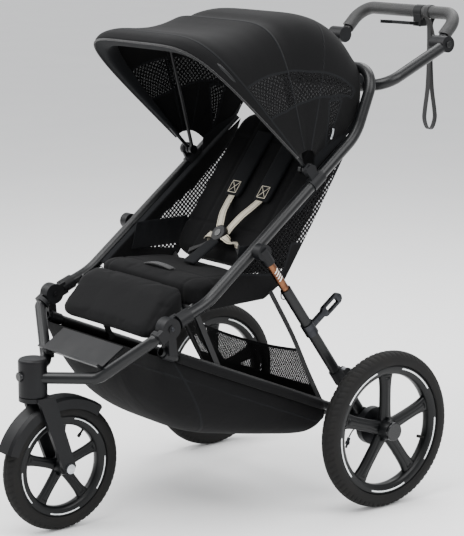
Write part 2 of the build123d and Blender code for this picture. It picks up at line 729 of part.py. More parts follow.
recline_up, recline_out = -8.8, 28.7     # hinge rod below the foot of the backrest
hinge_rod_r, hinge_rod_half, hinge_web = 5, 200, 6
with BuildPart() as backrest:
    add(side_plate([on_back(0, 0), on_back(back_length, 0), on_back(back_length, back_thick),
                    on_back(0, back_thick)], -seat_half, seat_half).part)
    add(side_plate([on_back(1, recline_out - hinge_web / 2), on_back(1, recline_out + hinge_web / 2),
                    on_back(recline_up, recline_out + hinge_web / 2),
                    on_back(recline_up, recline_out - hinge_web / 2)], -hinge_rod_half, hinge_rod_half).part)
    with BuildSketch(yz(-hinge_rod_half)):
        with Locations(on_back(recline_up, recline_out)):
            Circle(hinge_rod_r)
    extrude(amount=2 * hinge_rod_half)
keep("backrest", backrest)

pad_x, pad_half = 56, 26
shoulder_low, shoulder_high = 175, 315
with BuildPart() as shoulder_pads:
    with BuildSketch(yz(pad_x - pad_half)):
        with BuildLine():
            Polyline(on_back(shoulder_low, -gap), on_back(shoulder_high, -gap),
                     on_back(shoulder_high, -15), on_back(shoulder_low, -15), close=True)
        make_face()
    extrude(amount=2 * pad_half)
    mirror(about=Plane.YZ)
keep("shoulder_pads", shoulder_pads)

buckle_y, buckle_z, buckle_r = -236, 640, 22
buckle_face = Vector(0, -sin(radians(back_tilt)), cos(radians(back_tilt)))
with BuildPart() as harness_straps:
    strap_head = (pad_x, *on_back(shoulder_low - 1.3, -9))
    with BuildSketch(Plane(origin=strap_head, x_dir=(1, 0, 0), z_dir=(0, -1, 0))):
        Rectangle(25, 2.4)
    strap_foot = Vector(14, buckle_y, buckle_z) + back_dir * (buckle_r + 1.8)
    with BuildSketch(Plane(origin=strap_foot, x_dir=(1, 0, 0), z_dir=(0, -1, 0))):
        Rectangle(25, 2.4)
    loft()
    mirror(about=Plane.YZ)
keep("harness_straps", harness_straps)

buckle_plane = Plane(origin=(0, buckle_y, buckle_z), x_dir=(1, 0, 0), z_dir=buckle_face)
with BuildPart() as buckle:
    with BuildSketch(buckle_plane.offset(-8)):
        Circle(buckle_r)
    extrude(amount=16)
    fillet(buckle.edges(), 3)
    with BuildSketch(buckle_plane):
        Circle(9 + gap)
    extrude(amount=10, mode=Mode.SUBTRACT)
keep("harness_buckle", buckle)

with BuildPart() as buckle_button:
    with BuildSketch(buckle_plane.offset(4)):
        Circle(9)
    extrude(amount=5)
keep("buckle_button", buckle_button)

crotch_low_y, crotch_high_y = -335, -313
crotch_top = Vector(0, buckle_y, buckle_z) - back_dir * (buckle_r + gap)
crotch_upper, crotch_under = crotch_top + buckle_face * 4, crotch_top - buckle_face * 4
with BuildPart() as crotch_strap:
    with BuildSketch(yz(-19)):
        with BuildLine():
            Polyline((crotch_low_y, seat_top(crotch_low_y) + gap),
                     (crotch_high_y, seat_top(crotch_high_y) + gap),
                     (crotch_under.Y, crotch_under.Z), (crotch_upper.Y, crotch_upper.Z), close=True)
        make_face()
    extrude(amount=38)
keep("crotch_pad", crotch_strap)

pull_y = -418
pull_z = seat_top(pull_y - 11) + gap
with BuildPart() as fold_pull:
    with BuildSketch(Plane.XY.offset(pull_z)):
        with Locations((0, pull_y)):
            SlotCenterToCenter(80, 22)
    extrude(amount=6)
keep("fold_pull_strap", fold_pull)

side_in, side_out = seat_half + gap, seat_half + 4.5
tube_side_slope = (upper_bend_z - lower_bend_z) / (upper_bend_y - lower_bend_y)


def beside_tube(y, below=0):
    """Side-view point on the straight run of the main tube."""
    return (y, lower_bend_z + tube_side_slope * (y - lower_bend_y) - below)


flap_low_y, flap_high_y = -430, -172
side_points = [beside_tube(flap_low_y), beside_tube(flap_high_y), beside_tube(flap_high_y + 2, 8),
               beside_tube(-60, 8), (-30, 826), (-100, 716), (-205, 556), (-268, 520), (-420, 516)]
with BuildPart() as side_panel:
    add(side_plate(side_points, side_in, side_out).part)
    add(side_plate([beside_tube(flap_low_y, 2), beside_tube(flap_high_y, 2), beside_tube(flap_high_y, -2),
                    beside_tube(flap_low_y, -2)], side_in, frame_half - main_tube_r - gap).part)
keep_both("seat_sides", side_panel)

# ---- canopy ----
hinge = (0, canopy_y, canopy_z)
hinge_axis = Axis(hinge, (1, 0, 0))
shell_step = cloth + 0.9


def half_arch(width, crown, low_r, wall):
    """U-shaped band: half width, crown radius, radius where the sides start, wall."""
    corner = 95
    with BuildSketch(Plane.XY) as band:
        with Locations((0, crown - 300)):
            RectangleRounded(2 * width, 600, corner)
        with Locations((0, crown - wall - 300)):
            RectangleRounded(2 * (width - wall), 600, corner - wall, mode=Mode.SUBTRACT)
        with Locations((0, low_r - 500)):
            Rectangle(4 * width, 1000, mode=Mode.SUBTRACT)
    return band


def fan_plane(angle):
    """Plane through the hinge axis, with its own Y pointing up at an angle from the rear."""
    tilt = radians(angle)
    return Plane(origin=hinge, x_dir=(1, 0, 0), z_dir=(0, -sin(tilt), cos(tilt)))


def fan_loft(sections):
    """Thin shell through U-shaped bands, each given as angle, half width, crown, lowest radius."""
    with BuildPart() as shell:
        for angle, width, crown, low_r in sections:
            with BuildSketch(fan_plane(angle)):
                add(half_arch(width, crown, low_r, cloth).sketch)
        loft(ruled=True)
    return shell


side_low_r = 46


def fan_sweep(first, last, width, crown):
    """Part of a drum shell about the hinge axis, between two angles."""
    with BuildPart() as shell:
        with BuildSketch(fan_plane(first)):
            add(half_arch(width, crown, side_low_r, cloth).sketch)
        revolve(axis=hinge_axis, revolution_arc=last - first)
    return shell




def peak_crown(angle):
    """Crown radius of the peak at an angle: a straight run between its two end sections."""
    whole, first, last = (sin(radians(a)) for a in (peak_to - peak_from, angle - peak_from, peak_to - angle))
    return canopy_r * visor_r * whole / (canopy_r * first + visor_r * last)


mid_half = canopy_half - shell_step
rear_half = mid_half - shell_step
peak_from, peak_to = 120, 137    # the peak flares between these angles
front_sector = fan_sweep(104, peak_from, canopy_half, canopy_r)
peak = fan_loft([(peak_from, canopy_half, canopy_r, side_low_r), (peak_to, canopy_half, visor_r, side_low_r)])
with BuildPart() as canopy_front:
    add(front_sector.part)
    add(peak.part)
keep("canopy_front_panel", canopy_front)
canopy_mid = fan_sweep(75, 107, mid_half, canopy_r - shell_step)
keep("canopy_middle_panel", canopy_mid)
canopy_rear = fan_loft([(54, rear_half, 320, side_low_r), (66, rear_half, 336, side_low_r),
                        (78, rear_half, canopy_r - 2 * shell_step, side_low_r)])
keep("canopy_rear_panel", canopy_rear)

bow_r = 4.5
bow_corner = 92
lug_r = 11
canopy_pin_r = 4
middle_bow_half = 212
middle_bow_crown = canopy_r - shell_step - cloth - bow_r - gap
front_bow_half = canopy_half - cloth - bow_r - gap
front_bow_angle = 134.5
front_bow_crown = peak_crown(front_bow_angle) - cloth - bow_r - 3.6


def bow(angle, half, crown, lug_low, lug_high):
    """U-shaped rod in a plane through the hinge axis, with an eye at each end."""
    plane = fan_plane(angle)
    foot = lug_r - 1
    corners = [plane.from_local_coords(Vector(*p, 0)) for p in
               ((half, foot), (half, crown), (-half, crown), (-half, foot))]
    rod = sweep_tube([tuple(c) for c in corners], [bow_corner, bow_corner], bow_r)
    with BuildPart() as whole:
        add(rod.part)
        for low in (lug_low, -lug_high):
            with BuildSketch(yz(low)):
                with Locations((canopy_y, canopy_z)):
                    Circle(lug_r)
            extrude(amount=lug_high - lug_low)
        with BuildSketch(yz(-canopy_half)):
            with Locations((canopy_y, canopy_z)):
                Circle(canopy_pin_r + run)
        extrude(amount=2 * canopy_half, mode=Mode.SUBTRACT)
    return whole


keep("canopy_middle_bow", bow(105, middle_bow_half, middle_bow_crown, 207.5, 216.5))
keep("canopy_front_bow", bow(front_bow_angle, front_bow_half, front_bow_crown, 222, 230.5))

tube_dir = Vector(0, upper_bend_y - lower_bend_y, upper_bend_z - lower_bend_z).normalized()
tube_origin = Vector(frame_half, lower_bend_y, lower_bend_z)
hinge_reach = (Vector(frame_half, canopy_y, canopy_z) - tube_origin).dot(tube_dir)
saddle = tube_origin + tube_dir * hinge_reach
with BuildPart() as canopy_mount:
    tube_between(tuple(saddle - tube_dir * 20), tuple(saddle + tube_dir * 20), main_tube_r + 3)
    with BuildSketch(yz(238)):
        with Locations((canopy_y, canopy_z)):
            Circle(14)
        with BuildLine():
            Polyline((canopy_y - 13, canopy_z), (canopy_y + 13, canopy_z), (saddle.Y + 15, saddle.Z + 8),
                     (saddle.Y - 15, saddle.Z - 8), close=True)
        make_face()
    extrude(amount=8)
    tube_between((206, canopy_y, canopy_z), (239, canopy_y, canopy_z), canopy_pin_r)
    with BuildSketch(Plane(origin=tuple(saddle - tube_dir * 30), z_dir=tube_dir)):
        Circle(main_tube_r)
    extrude(amount=60, mode=Mode.SUBTRACT)
keep_both("canopy_mounts", canopy_mount)

# ---- basket, hung from the lower rails ----
clamp_wall = 3.5                 # ring of the fold joint round the rail
basket_drop = (rail_r + clamp_wall + gap) * hypot(1, rail_slope)
basket_front_y, basket_rear_y = -588, -94


def under_rail(y, drop=0):
    """Side-view point just below the rail."""
    return (y, rail_z(y) - basket_drop - drop)


basket_wall = 3
basket_outer = side_plate([under_rail(basket_front_y), under_rail(basket_rear_y), (basket_rear_y - 4, 180),
                           (-140, 156), (-404, 200), (-506, 250)], -rail_half, rail_half)
basket_inner = side_plate([(basket_front_y + 5, 470), (basket_rear_y - 3, 470), (basket_rear_y - 7, 184),
                           (-142, 160), (-403, 204), (-503, 253)], basket_wall - rail_half,
                          rail_half - basket_wall)
with BuildPart() as basket:
    add(basket_outer.part)
    add(basket_inner.part, mode=Mode.SUBTRACT)
keep("basket", basket)

# ---- fold links between the main tubes and the rails ----
link_top_y, link_top_z = -480, 531.5
link_low_y = -406
link_in, link_out = 214.3, 220.3
with BuildPart() as links:
    with BuildSketch(yz(link_in)):
        with Locations((link_top_y, link_top_z), (link_low_y, rail_z(link_low_y))):
            Circle(9)
        with Locations(Location(((link_top_y + link_low_y) / 2, (link_top_z + rail_z(link_low_y)) / 2),
                                (0, 0, degrees(atan2(rail_z(link_low_y) - link_top_z,
                                                     link_low_y - link_top_y))))):
            Rectangle(hypot(rail_z(link_low_y) - link_top_z, link_low_y - link_top_y), 13)
    extrude(amount=link_out - link_in)
    tube_between((link_out - 0.5, link_top_y, link_top_z),
                 (frame_half - main_tube_r - gap, link_top_y, link_top_z), 5)
    mirror(about=Plane.YZ)
keep("fold_links", links)

# ---- write every piece ----
for name, piece in pieces.items():
    piece.part.label = name
    export_step(piece.part, f"parts/{name}.step")
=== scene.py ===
import math

import bmesh
import bpy
import numpy as np
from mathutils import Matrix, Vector


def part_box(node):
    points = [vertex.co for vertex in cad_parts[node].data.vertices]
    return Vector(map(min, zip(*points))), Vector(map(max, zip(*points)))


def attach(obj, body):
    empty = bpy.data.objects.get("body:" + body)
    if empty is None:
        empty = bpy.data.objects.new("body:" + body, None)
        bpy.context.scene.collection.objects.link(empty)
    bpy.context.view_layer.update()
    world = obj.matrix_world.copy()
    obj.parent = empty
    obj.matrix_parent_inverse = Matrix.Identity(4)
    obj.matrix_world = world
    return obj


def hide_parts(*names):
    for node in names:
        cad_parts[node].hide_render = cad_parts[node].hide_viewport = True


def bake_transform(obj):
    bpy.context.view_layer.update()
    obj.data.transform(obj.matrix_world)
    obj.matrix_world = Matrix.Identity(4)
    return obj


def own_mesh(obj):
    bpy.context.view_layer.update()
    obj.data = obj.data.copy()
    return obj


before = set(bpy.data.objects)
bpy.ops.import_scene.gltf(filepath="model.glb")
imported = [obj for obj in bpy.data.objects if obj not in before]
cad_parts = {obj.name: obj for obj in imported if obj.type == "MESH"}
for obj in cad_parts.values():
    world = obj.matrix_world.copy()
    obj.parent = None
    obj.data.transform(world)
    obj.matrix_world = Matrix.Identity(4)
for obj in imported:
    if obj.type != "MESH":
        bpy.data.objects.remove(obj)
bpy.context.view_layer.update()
mm = 0.001

# ---- camera, light and floor ----

mainView = {
    "azimuth": 51.92,      # degrees round from straight ahead of the stroller
    "elevation": 11.38,
    "distance": 4.574,
    "target": (0.124, -0.300, 0.585),
    "lens": 131.64,        # mm on a 36 mm sensor
    "shift": (0.0024, -0.0004),
}


def aimFrom(azimuth, elevation):
    # unit vector from the target back to the viewer
    turn, rise = math.radians(azimuth), math.radians(elevation)
    return Vector((math.sin(turn) * math.cos(rise), -math.cos(turn) * math.cos(rise), math.sin(rise)))


cameraData = bpy.data.cameras.new("studioCamera")
cameraData.sensor_width = 36
cameraData.lens = mainView["lens"]
cameraData.shift_x, cameraData.shift_y = mainView["shift"]
cameraData.clip_end = 60
camera = bpy.data.objects.new("studioCamera", cameraData)
bpy.context.scene.collection.objects.link(camera)
viewBack = aimFrom(mainView["azimuth"], mainView["elevation"])
camera.location = Vector(mainView["target"]) + viewBack * mainView["distance"]
camera.rotation_mode = "QUATERNION"
camera.rotation_quaternion = (-viewBack).to_track_quat("-Z", "Y")
bpy.context.scene.camera = camera

softLights = [
    # azimuth, elevation, distance, side of the square panel, watts
    (5, 62, 3.2, 2.4, 150),
    (100, 40, 3.4, 2.2, 90),
    (200, 55, 3.4, 2.4, 100),
    (300, 38, 3.4, 2.2, 60),
]
for azimuth, elevation, distance, side, watts in softLights:
    panel = bpy.data.lights.new("softPanel", "AREA")
    panel.size = side
    panel.energy = watts
    lamp = bpy.data.objects.new("softPanel", panel)
    away = aimFrom(azimuth, elevation)
    lamp.location = Vector((0, -0.25, 0.55)) + away * distance
    lamp.rotation_mode = "QUATERNION"
    lamp.rotation_quaternion = (-away).to_track_quat("-Z", "Y")
    bpy.context.scene.collection.objects.link(lamp)
world = bpy.data.worlds.new("paleRoom")
bpy.context.scene.world = world
world.use_nodes = True
world.node_tree.nodes["Background"].inputs["Color"].default_value = (0.94, 0.95, 0.97, 1)
world.node_tree.nodes["Background"].inputs["Strength"].default_value = 1.05

# ---- finishes ----


def linearColour(hexText):
    # sRGB to linear light: c / 12.92 when dark, else ((c + 0.055) / 1.055) to the power 2.4
    parts = [int(hexText[i:i + 2], 16) / 255 for i in (1, 3, 5)]
    return [c / 12.92 if c <= 0.04045 else ((c + 0.055) / 1.055) ** 2.4 for c in parts] + [1.0]


def addNode(material, kind, inputs=None, **settings):
    # one node; an input is a value, or (node, output name) to link from
    node = material.node_tree.nodes.new(kind)
    for key, value in settings.items():
        setattr(node, key, value)
    for socket, value in (inputs or {}).items():
        if isinstance(value, tuple) and isinstance(value[0], bpy.types.Node):
            material.node_tree.links.new(value[0].outputs[value[1]], node.inputs[socket])
        else:
            node.inputs[socket].default_value = value
    return node


def startMaterial(name):
    material = bpy.data.materials.new(name)
    material.use_nodes = True
    material.node_tree.nodes.clear()
    return material


def finishMaterial(material, **sockets):
    shader = addNode(material, "ShaderNodeBsdfPrincipled",
                     {key.replace("_", " "): value for key, value in sockets.items()})
    addNode(material, "ShaderNodeOutputMaterial", {"Surface": (shader, "BSDF")})
    return material


def hardFinish(name, dark, light, cloud, grain, depth, rough, metal=0.0, coat=0.0):
    # colour drifts between two tones over cloud mm; a fine bump of grain mm and depth mm breaks the gloss
    material = startMaterial(name)
    place = addNode(material, "ShaderNodeTexCoord")
    drift = addNode(material, "ShaderNodeTexNoise",
                    {"Vector": (place, "Object"), "Scale": 1000 / cloud, "Detail": 3.0})
    tone = addNode(material, "ShaderNodeValToRGB", {"Fac": (drift, "Fac")})
    tone.color_ramp.elements[0].position = 0.34
    tone.color_ramp.elements[0].color = linearColour(dark)
    tone.color_ramp.elements[1].position = 0.68
    tone.color_ramp.elements[1].color = linearColour(light)
    speck = addNode(material, "ShaderNodeTexNoise",
                    {"Vector": (place, "Object"), "Scale": 1000 / grain, "Detail": 2.0})
    bump = addNode(material, "ShaderNodeBump", {"Height": (speck, "Fac"), "Distance": depth * mm})
    dull = addNode(material, "ShaderNodeMapRange", {"Value": (drift, "Fac"), "From Min": 0.3, "From Max": 0.7,
                                                    "To Min": rough - 0.06, "To Max": rough + 0.08})
    return finishMaterial(material, Base_Color=(tone, "Color"), Roughness=(dull, "Result"), Metallic=metal,
                          Specular_IOR_Level=0.5 if metal else 0.2, Coat_Weight=coat, Coat_Roughness=0.25,
                          Normal=(bump, "Normal"))


# powder coat on aluminium: satin black with a faint orange peel, drawn at 3 mm so it shows
powderBlack = hardFinish("powderCoatBlack", "#07080a", "#0c0d0e", 90, 3, 0.03, 0.36, coat=0.15)
# glass-filled nylon, moulded: even matt black with spark-eroded grain, drawn at 2.4 mm
mouldedBlack = hardFinish("mouldedNylonBlack", "#08080a", "#0e0f11", 60, 2.4, 0.06, 0.46)
# the wheel's satin nylon: a little smoother, so broad soft highlights run along the spokes
satinNylon = hardFinish("satinNylonRim", "#070809", "#0c0d0e", 80, 4, 0.03, 0.33)
# polished round button cap
glossCap = hardFinish("polishedNylonCap", "#0a0b0c", "#101112", 40, 3, 0.01, 0.22, coat=0.3)
# tyre rubber: dull charcoal with a coarse grain
tyreRubber = hardFinish("tyreRubberDull", "#0b0b0b", "#151413", 45, 2.2, 0.14, 0.72)
# soft pedal cover in mid grey rubber
greyRubber = hardFinish("pedalRubberGrey", "#7d7f82", "#94969a", 30, 2, 0.08, 0.62)
# bronze anodised aluminium: warm smooth metal
bronzeTube = hardFinish("bronzeAnodised", "#5c3b2b", "#80583f", 25, 2, 0.01, 0.27, metal=1.0)
# zinc plated steel: bright bolts and pins
platedSteel = hardFinish("platedSteelBright", "#8d9094", "#c3c6c9", 20, 1.5, 0.01, 0.3, metal=1.0)
# black oxide steel: dark hooks and rivets with a metal glint
darkSteel = hardFinish("blackOxideSteel", "#26272a", "#3a3b3e", 20, 1.5, 0.01, 0.34, metal=1.0)
# anodised brake drum: dark satin metal
drumMetal = hardFinish("drumAnodisedBlack", "#131416", "#1e1f22", 30, 2, 0.02, 0.38, metal=0.6)
# pale printed stripes on the bronze tubes
paleInk = hardFinish("paleInk", "#d9d6d0", "#efece6", 20, 2, 0.01, 0.5)


def leatherFinish(name, dark, light):
    # imitation leather: pebbles 2.2 mm across, drawn from the gap between the two nearest cell centres
    material = startMaterial(name)
    place = addNode(material, "ShaderNodeTexCoord")
    pebble = addNode(material, "ShaderNodeTexVoronoi", {"Vector": (place, "Object"), "Scale": 1000 / 2.2},
                     feature="DISTANCE_TO_EDGE")
    crease = addNode(material, "ShaderNodeMapRange", {"Value": (pebble, "Distance"), "From Max": 0.22})
    drift = addNode(material, "ShaderNodeTexNoise", {"Vector": (place, "Object"), "Scale": 1000 / 40.0})
    tone = addNode(material, "ShaderNodeMix",
                   {"Factor": (drift, "Fac"), "A": linearColour(dark), "B": linearColour(light)},
                   data_type="RGBA")
    bump = addNode(material, "ShaderNodeBump", {"Height": (crease, "Result"), "Distance": 0.25 * mm})
    return finishMaterial(material, Base_Color=(tone, "Result"), Roughness=0.47, Normal=(bump, "Normal"))


# imitation leather on the grip: pebbled, with soft broken highlights
gripLeather = leatherFinish("gripImitationLeather", "#0d0d0d", "#161616")
# reflective tape: pale grey, mottled in small patches
reflectiveTape = hardFinish("reflectiveTapePale", "#cfd3d5", "#f4f6f6", 6, 2, 0.05, 0.35)

nodeFinish = {
    powderBlack: ["front_tubes", "lower_rails", "rear_axle", "rear_legs", "main_tubes", "arch_tube",
                  "handle_carrier_tube", "handlebar", "canopy_middle_bow", "canopy_front_bow", "fold_links"],
    mouldedBlack: ["steering_head", "footrest", "fold_joints_lower", "fold_joints_upper", "rear_axle_brackets",
                   "front_fork", "front_mudguard", "leg_slide_shoes", "brake_pedal_mount", "handle_yokes",
                   "canopy_mounts", "brake_lever_clamp", "tilt_hubs_upper", "tilt_hubs_lower",
                   "harness_buckle"],
    drumMetal: ["brake_drums"],
    glossCap: ["swivel_lock_button", "rear_hub_cap_left", "rear_hub_cap_right", "tilt_button_left",
               "tilt_button_right", "brake_lever", "buckle_button"],
    bronzeTube: ["leg_inner_tubes"],
    greyRubber: ["brake_pedal"],
    platedSteel: ["front_axle_bolt"],
    darkSteel: ["transport_lock_hook"],
    gripLeather: ["handle_grip"],
    tyreRubber: ["brake_cable"],
}
for finish, names in nodeFinish.items():
    for nodeName in names:
        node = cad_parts[nodeName]
        node.data.materials.clear()
        node.data.materials.append(finish)
print("finishes given to", sum(len(names) for names in nodeFinish.values()), "frame nodes")

floorMaterial = startMaterial("paleStudioPaper")
floorPlace = addNode(floorMaterial, "ShaderNodeTexCoord")
floorCloud = addNode(floorMaterial, "ShaderNodeTexNoise", {"Vector": (floorPlace, "Object"), "Scale": 2.0})
floorTone = addNode(floorMaterial, "ShaderNodeMix", {"Factor": (floorCloud, "Fac"),
                                                     "A": linearColour("#f1f1f1"), "B": linearColour("#f7f7f6")},
                    data_type="RGBA")
finishMaterial(floorMaterial, Base_Color=(floorTone, "Result"), Roughness=0.9)
bpy.ops.mesh.primitive_plane_add(size=60, location=(0, 0, -0.0005))
studioFloor = bpy.context.object
studioFloor.name = "studioFloor"
studioFloor.data.materials.append(floorMaterial)

# ---- shapes ----


def smoothPath(points, count):
    # Catmull-Rom: a cubic between each pair of rows, with slopes taken from the rows either side
    rows = np.asarray(points, float)
    rows = np.vstack([2 * rows[0] - rows[1], rows, 2 * rows[-1] - rows[-2]])
    at = np.linspace(0, len(rows) - 3 - 1e-9, count)
    k = at.astype(int)
    t = (at - k)[:, None]
    a, b, c, d = rows[k], rows[k + 1], rows[k + 2], rows[k + 3]
    return 0.5 * (2 * b + (c - a) * t + (2 * a - 5 * b + 4 * c - d) * t ** 2 + (3 * b - a - 3 * c + d) * t ** 3)


def roundSection(width, thick, sides=16, power=2.0):
    # superellipse outline: |x / a| to the power plus |y / b| to the power is one
    turn = np.linspace(0, 2 * np.pi, sides, endpoint=False)
    across = np.sign(np.cos(turn)) * np.abs(np.cos(turn)) ** (2 / power)
    upward = np.sign(np.sin(turn)) * np.abs(np.sin(turn)) ** (2 / power)
    return np.stack([across * width / 2, upward * thick / 2], 1)


def carried(path, section, lift):
    # a section carried along a path: point = path + sideways * x + up * y, sideways is across path and lift
    path = np.asarray(path, float)
    heading = np.gradient(path, axis=0)
    heading /= np.linalg.norm(heading, axis=1, keepdims=True)
    side = np.cross(heading, np.broadcast_to(np.asarray(lift, float), path.shape))
    side /= np.linalg.norm(side, axis=1, keepdims=True)
    up = np.cross(side, heading)
    section = np.broadcast_to(section, (len(path),) + np.shape(section)[-2:])
    return path[:, None] + side[:, None] * section[..., 0:1] + up[:, None] * section[..., 1:2]


def turned(profile, centre, axis, sides=40):
    # turned shape: each profile row is distance along the axis and radius, carried round in equal steps
    profile = np.asarray(profile, float)
    axis = np.asarray(axis, float) / np.linalg.norm(axis)
    first = np.cross(axis, (0, 0, 1) if abs(axis[2]) < 0.9 else (1, 0, 0))
    first /= np.linalg.norm(first)
    second = np.cross(axis, first)
    turn = np.linspace(0, 2 * np.pi, sides, endpoint=False)
    ring = np.cos(turn)[:, None] * first + np.sin(turn)[:, None] * second
    return np.asarray(centre, float) + profile[:, 0, None, None] * axis + profile[:, 1, None, None] * ring


def bar(path, section, lift):
    # a closed bar for makePiece: a section carried along an open path, capped at both ends
    return carried(path, section, lift), False, True, True


def lathe(profile, centre, axis, sides):
    # a closed turned part for makePiece
    return turned(profile, centre, axis, sides), False, True, True


def cellCorners(grid):
    # the four corners of every cell of a grid, in order round the cell
    return np.stack([grid[:-1, :-1], grid[1:, :-1], grid[1:, 1:], grid[:-1, 1:]], 2)


def makePiece(name, parts, finish, body=None, nodes=(), fields=None, closed=True):
    # every part is (grid of points, closes along rows, closes along columns, capped at both ends);
    # quads join neighbours, and the UV map runs in metres along the rows and the columns
    points, faces, corners, total = [], [], [], 0
    for grid, closeRows, closeCols, capped in parts:
        rows, cols = grid.shape[:2]
        index = total + np.arange(rows * cols).reshape(rows, cols)
        wide, full = index, grid
        if closeRows:
            wide, full = np.vstack([wide, wide[:1]]), np.concatenate([full, full[:1]])
        if closeCols:
            wide, full = np.hstack([wide, wide[:, :1]]), np.concatenate([full, full[:, :1]], 1)
        along = np.r_[0, np.cumsum(np.linalg.norm(np.diff(full, axis=0), axis=2).mean(1))]
        across = np.r_[0, np.cumsum(np.linalg.norm(np.diff(full, axis=1), axis=2).mean(0))]
        uv = np.stack(np.meshgrid(along, across, indexing="ij"), -1)
        faces.extend(cellCorners(wide).reshape(-1, 4).tolist())
        corners.extend(cellCorners(uv).reshape(-1, 2).tolist())
        if capped:
            for ring in (index[0, ::-1], index[-1]):
                faces.append(ring.tolist())
                corners.extend([[0.0, 0.0]] * len(ring))
        points.append(grid.reshape(-1, 3))
        total += rows * cols
    mesh = bpy.data.meshes.new(name)
    mesh.from_pydata(np.concatenate(points).tolist(), [], faces)
    layer = mesh.uv_layers.new(name="UVMap")
    layer.data.foreach_set("uv", np.asarray(corners, np.float32).ravel())
    for key, values in (fields or {}).items():
        mesh.attributes.new(key, "FLOAT", "POINT").data.foreach_set("value", values.astype(np.float32).ravel())
    mesh.polygons.foreach_set("use_smooth", [True] * len(mesh.polygons))
    if closed:
        shape = bmesh.new()
        shape.from_mesh(mesh)
        bmesh.ops.recalc_face_normals(shape, faces=shape.faces[:])
        shape.to_mesh(mesh)
        shape.free()
    mesh.materials.append(finish)
    piece = bpy.data.objects.new(name, mesh)
    bpy.context.scene.collection.objects.link(piece)
    if body:
        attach(piece, body)
    if nodes:
        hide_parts(*nodes)
    return piece


def thicken(piece, thick):
    # the cloth's thickness, half on each side of the sheet
    shell = piece.modifiers.new("clothThickness", "SOLIDIFY")
    shell.thickness = thick
    shell.offset = 0
    return piece


def middleOf(node):
    low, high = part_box(node)
    return np.array((low + high) / 2), np.array(high - low)


# ---- wheels ----

wheelShape = {
    "rearRadius": 0.19,       # the spokes are sized for this wheel and scaled with the radius
    "treadBlocks": 76,        # blocks round a rear tyre, about 16 mm apart
    "grooveDepth": 1.5 * mm,
    "spokeCount": 5,
    "rimWall": 24 * mm,       # the rim's height under the tyre's bead
    "beadDepth": 32 * mm,     # from the tread down to the bead
    "arcDegrees": 41,         # each reflective arc
}


def tyreGrid(centre, outer, half, bead, blocks):
    # round section about its own middle, cut off at the bead; grooves lower the radius by a slanted square
    # wave of the wheel angle on the shoulders and by two rings beside the middle
    around = np.linspace(0, 2 * np.pi, blocks * 8, endpoint=False)[:, None]
    limit = math.acos((bead - (outer - half)) / half)
    across = np.linspace(-limit, limit, 39)[None, :]
    slant = (around * blocks / (2 * np.pi) + 0.55 * np.abs(across) / limit * 2) % 1.0
    block = (slant < 0.3) & (np.abs(across) > 0.28) & (np.abs(across) < 1.1)
    ring = np.abs(np.abs(across) - 0.2) < 0.05
    sideLine = np.exp(-((np.abs(across) - 1.35) / 0.06) ** 2) * 0.6 * mm
    depth = np.where(block | ring, wheelShape["grooveDepth"], 0.0) + 0 * around
    squared = np.sign(np.cos(across)) * np.abs(np.cos(across)) ** 0.9
    radius = (outer - half) + (half - depth - sideLine) * squared
    sideways = (half - depth) * np.sin(across) + 0 * around
    return np.stack([centre[0] + sideways, centre[1] + radius * np.cos(around),
                     centre[2] + radius * np.sin(around)], -1)


def spokeGrid(centre, angle, start, end, hubWide, midWide, rimWide, thick):
    # a bar along a radius whose width swells at both ends by a power of the distance from its middle
    out = np.linspace(0, 1, 15)
    middle = np.abs(2 * out - 1)
    width = midWide + np.where(out < 0.5, hubWide - midWide, rimWide - midWide) * middle ** 3
    section = roundSection(1, 1, 20, 3.2)[None] * np.stack([width, np.full(15, 1.0) * thick], 1)[:, None, :]
    reach = start + (end - start) * out
    path = np.array(centre) + reach[:, None] * np.array([0, math.cos(angle), math.sin(angle)])
    return carried(path, section, (1, 0, 0))


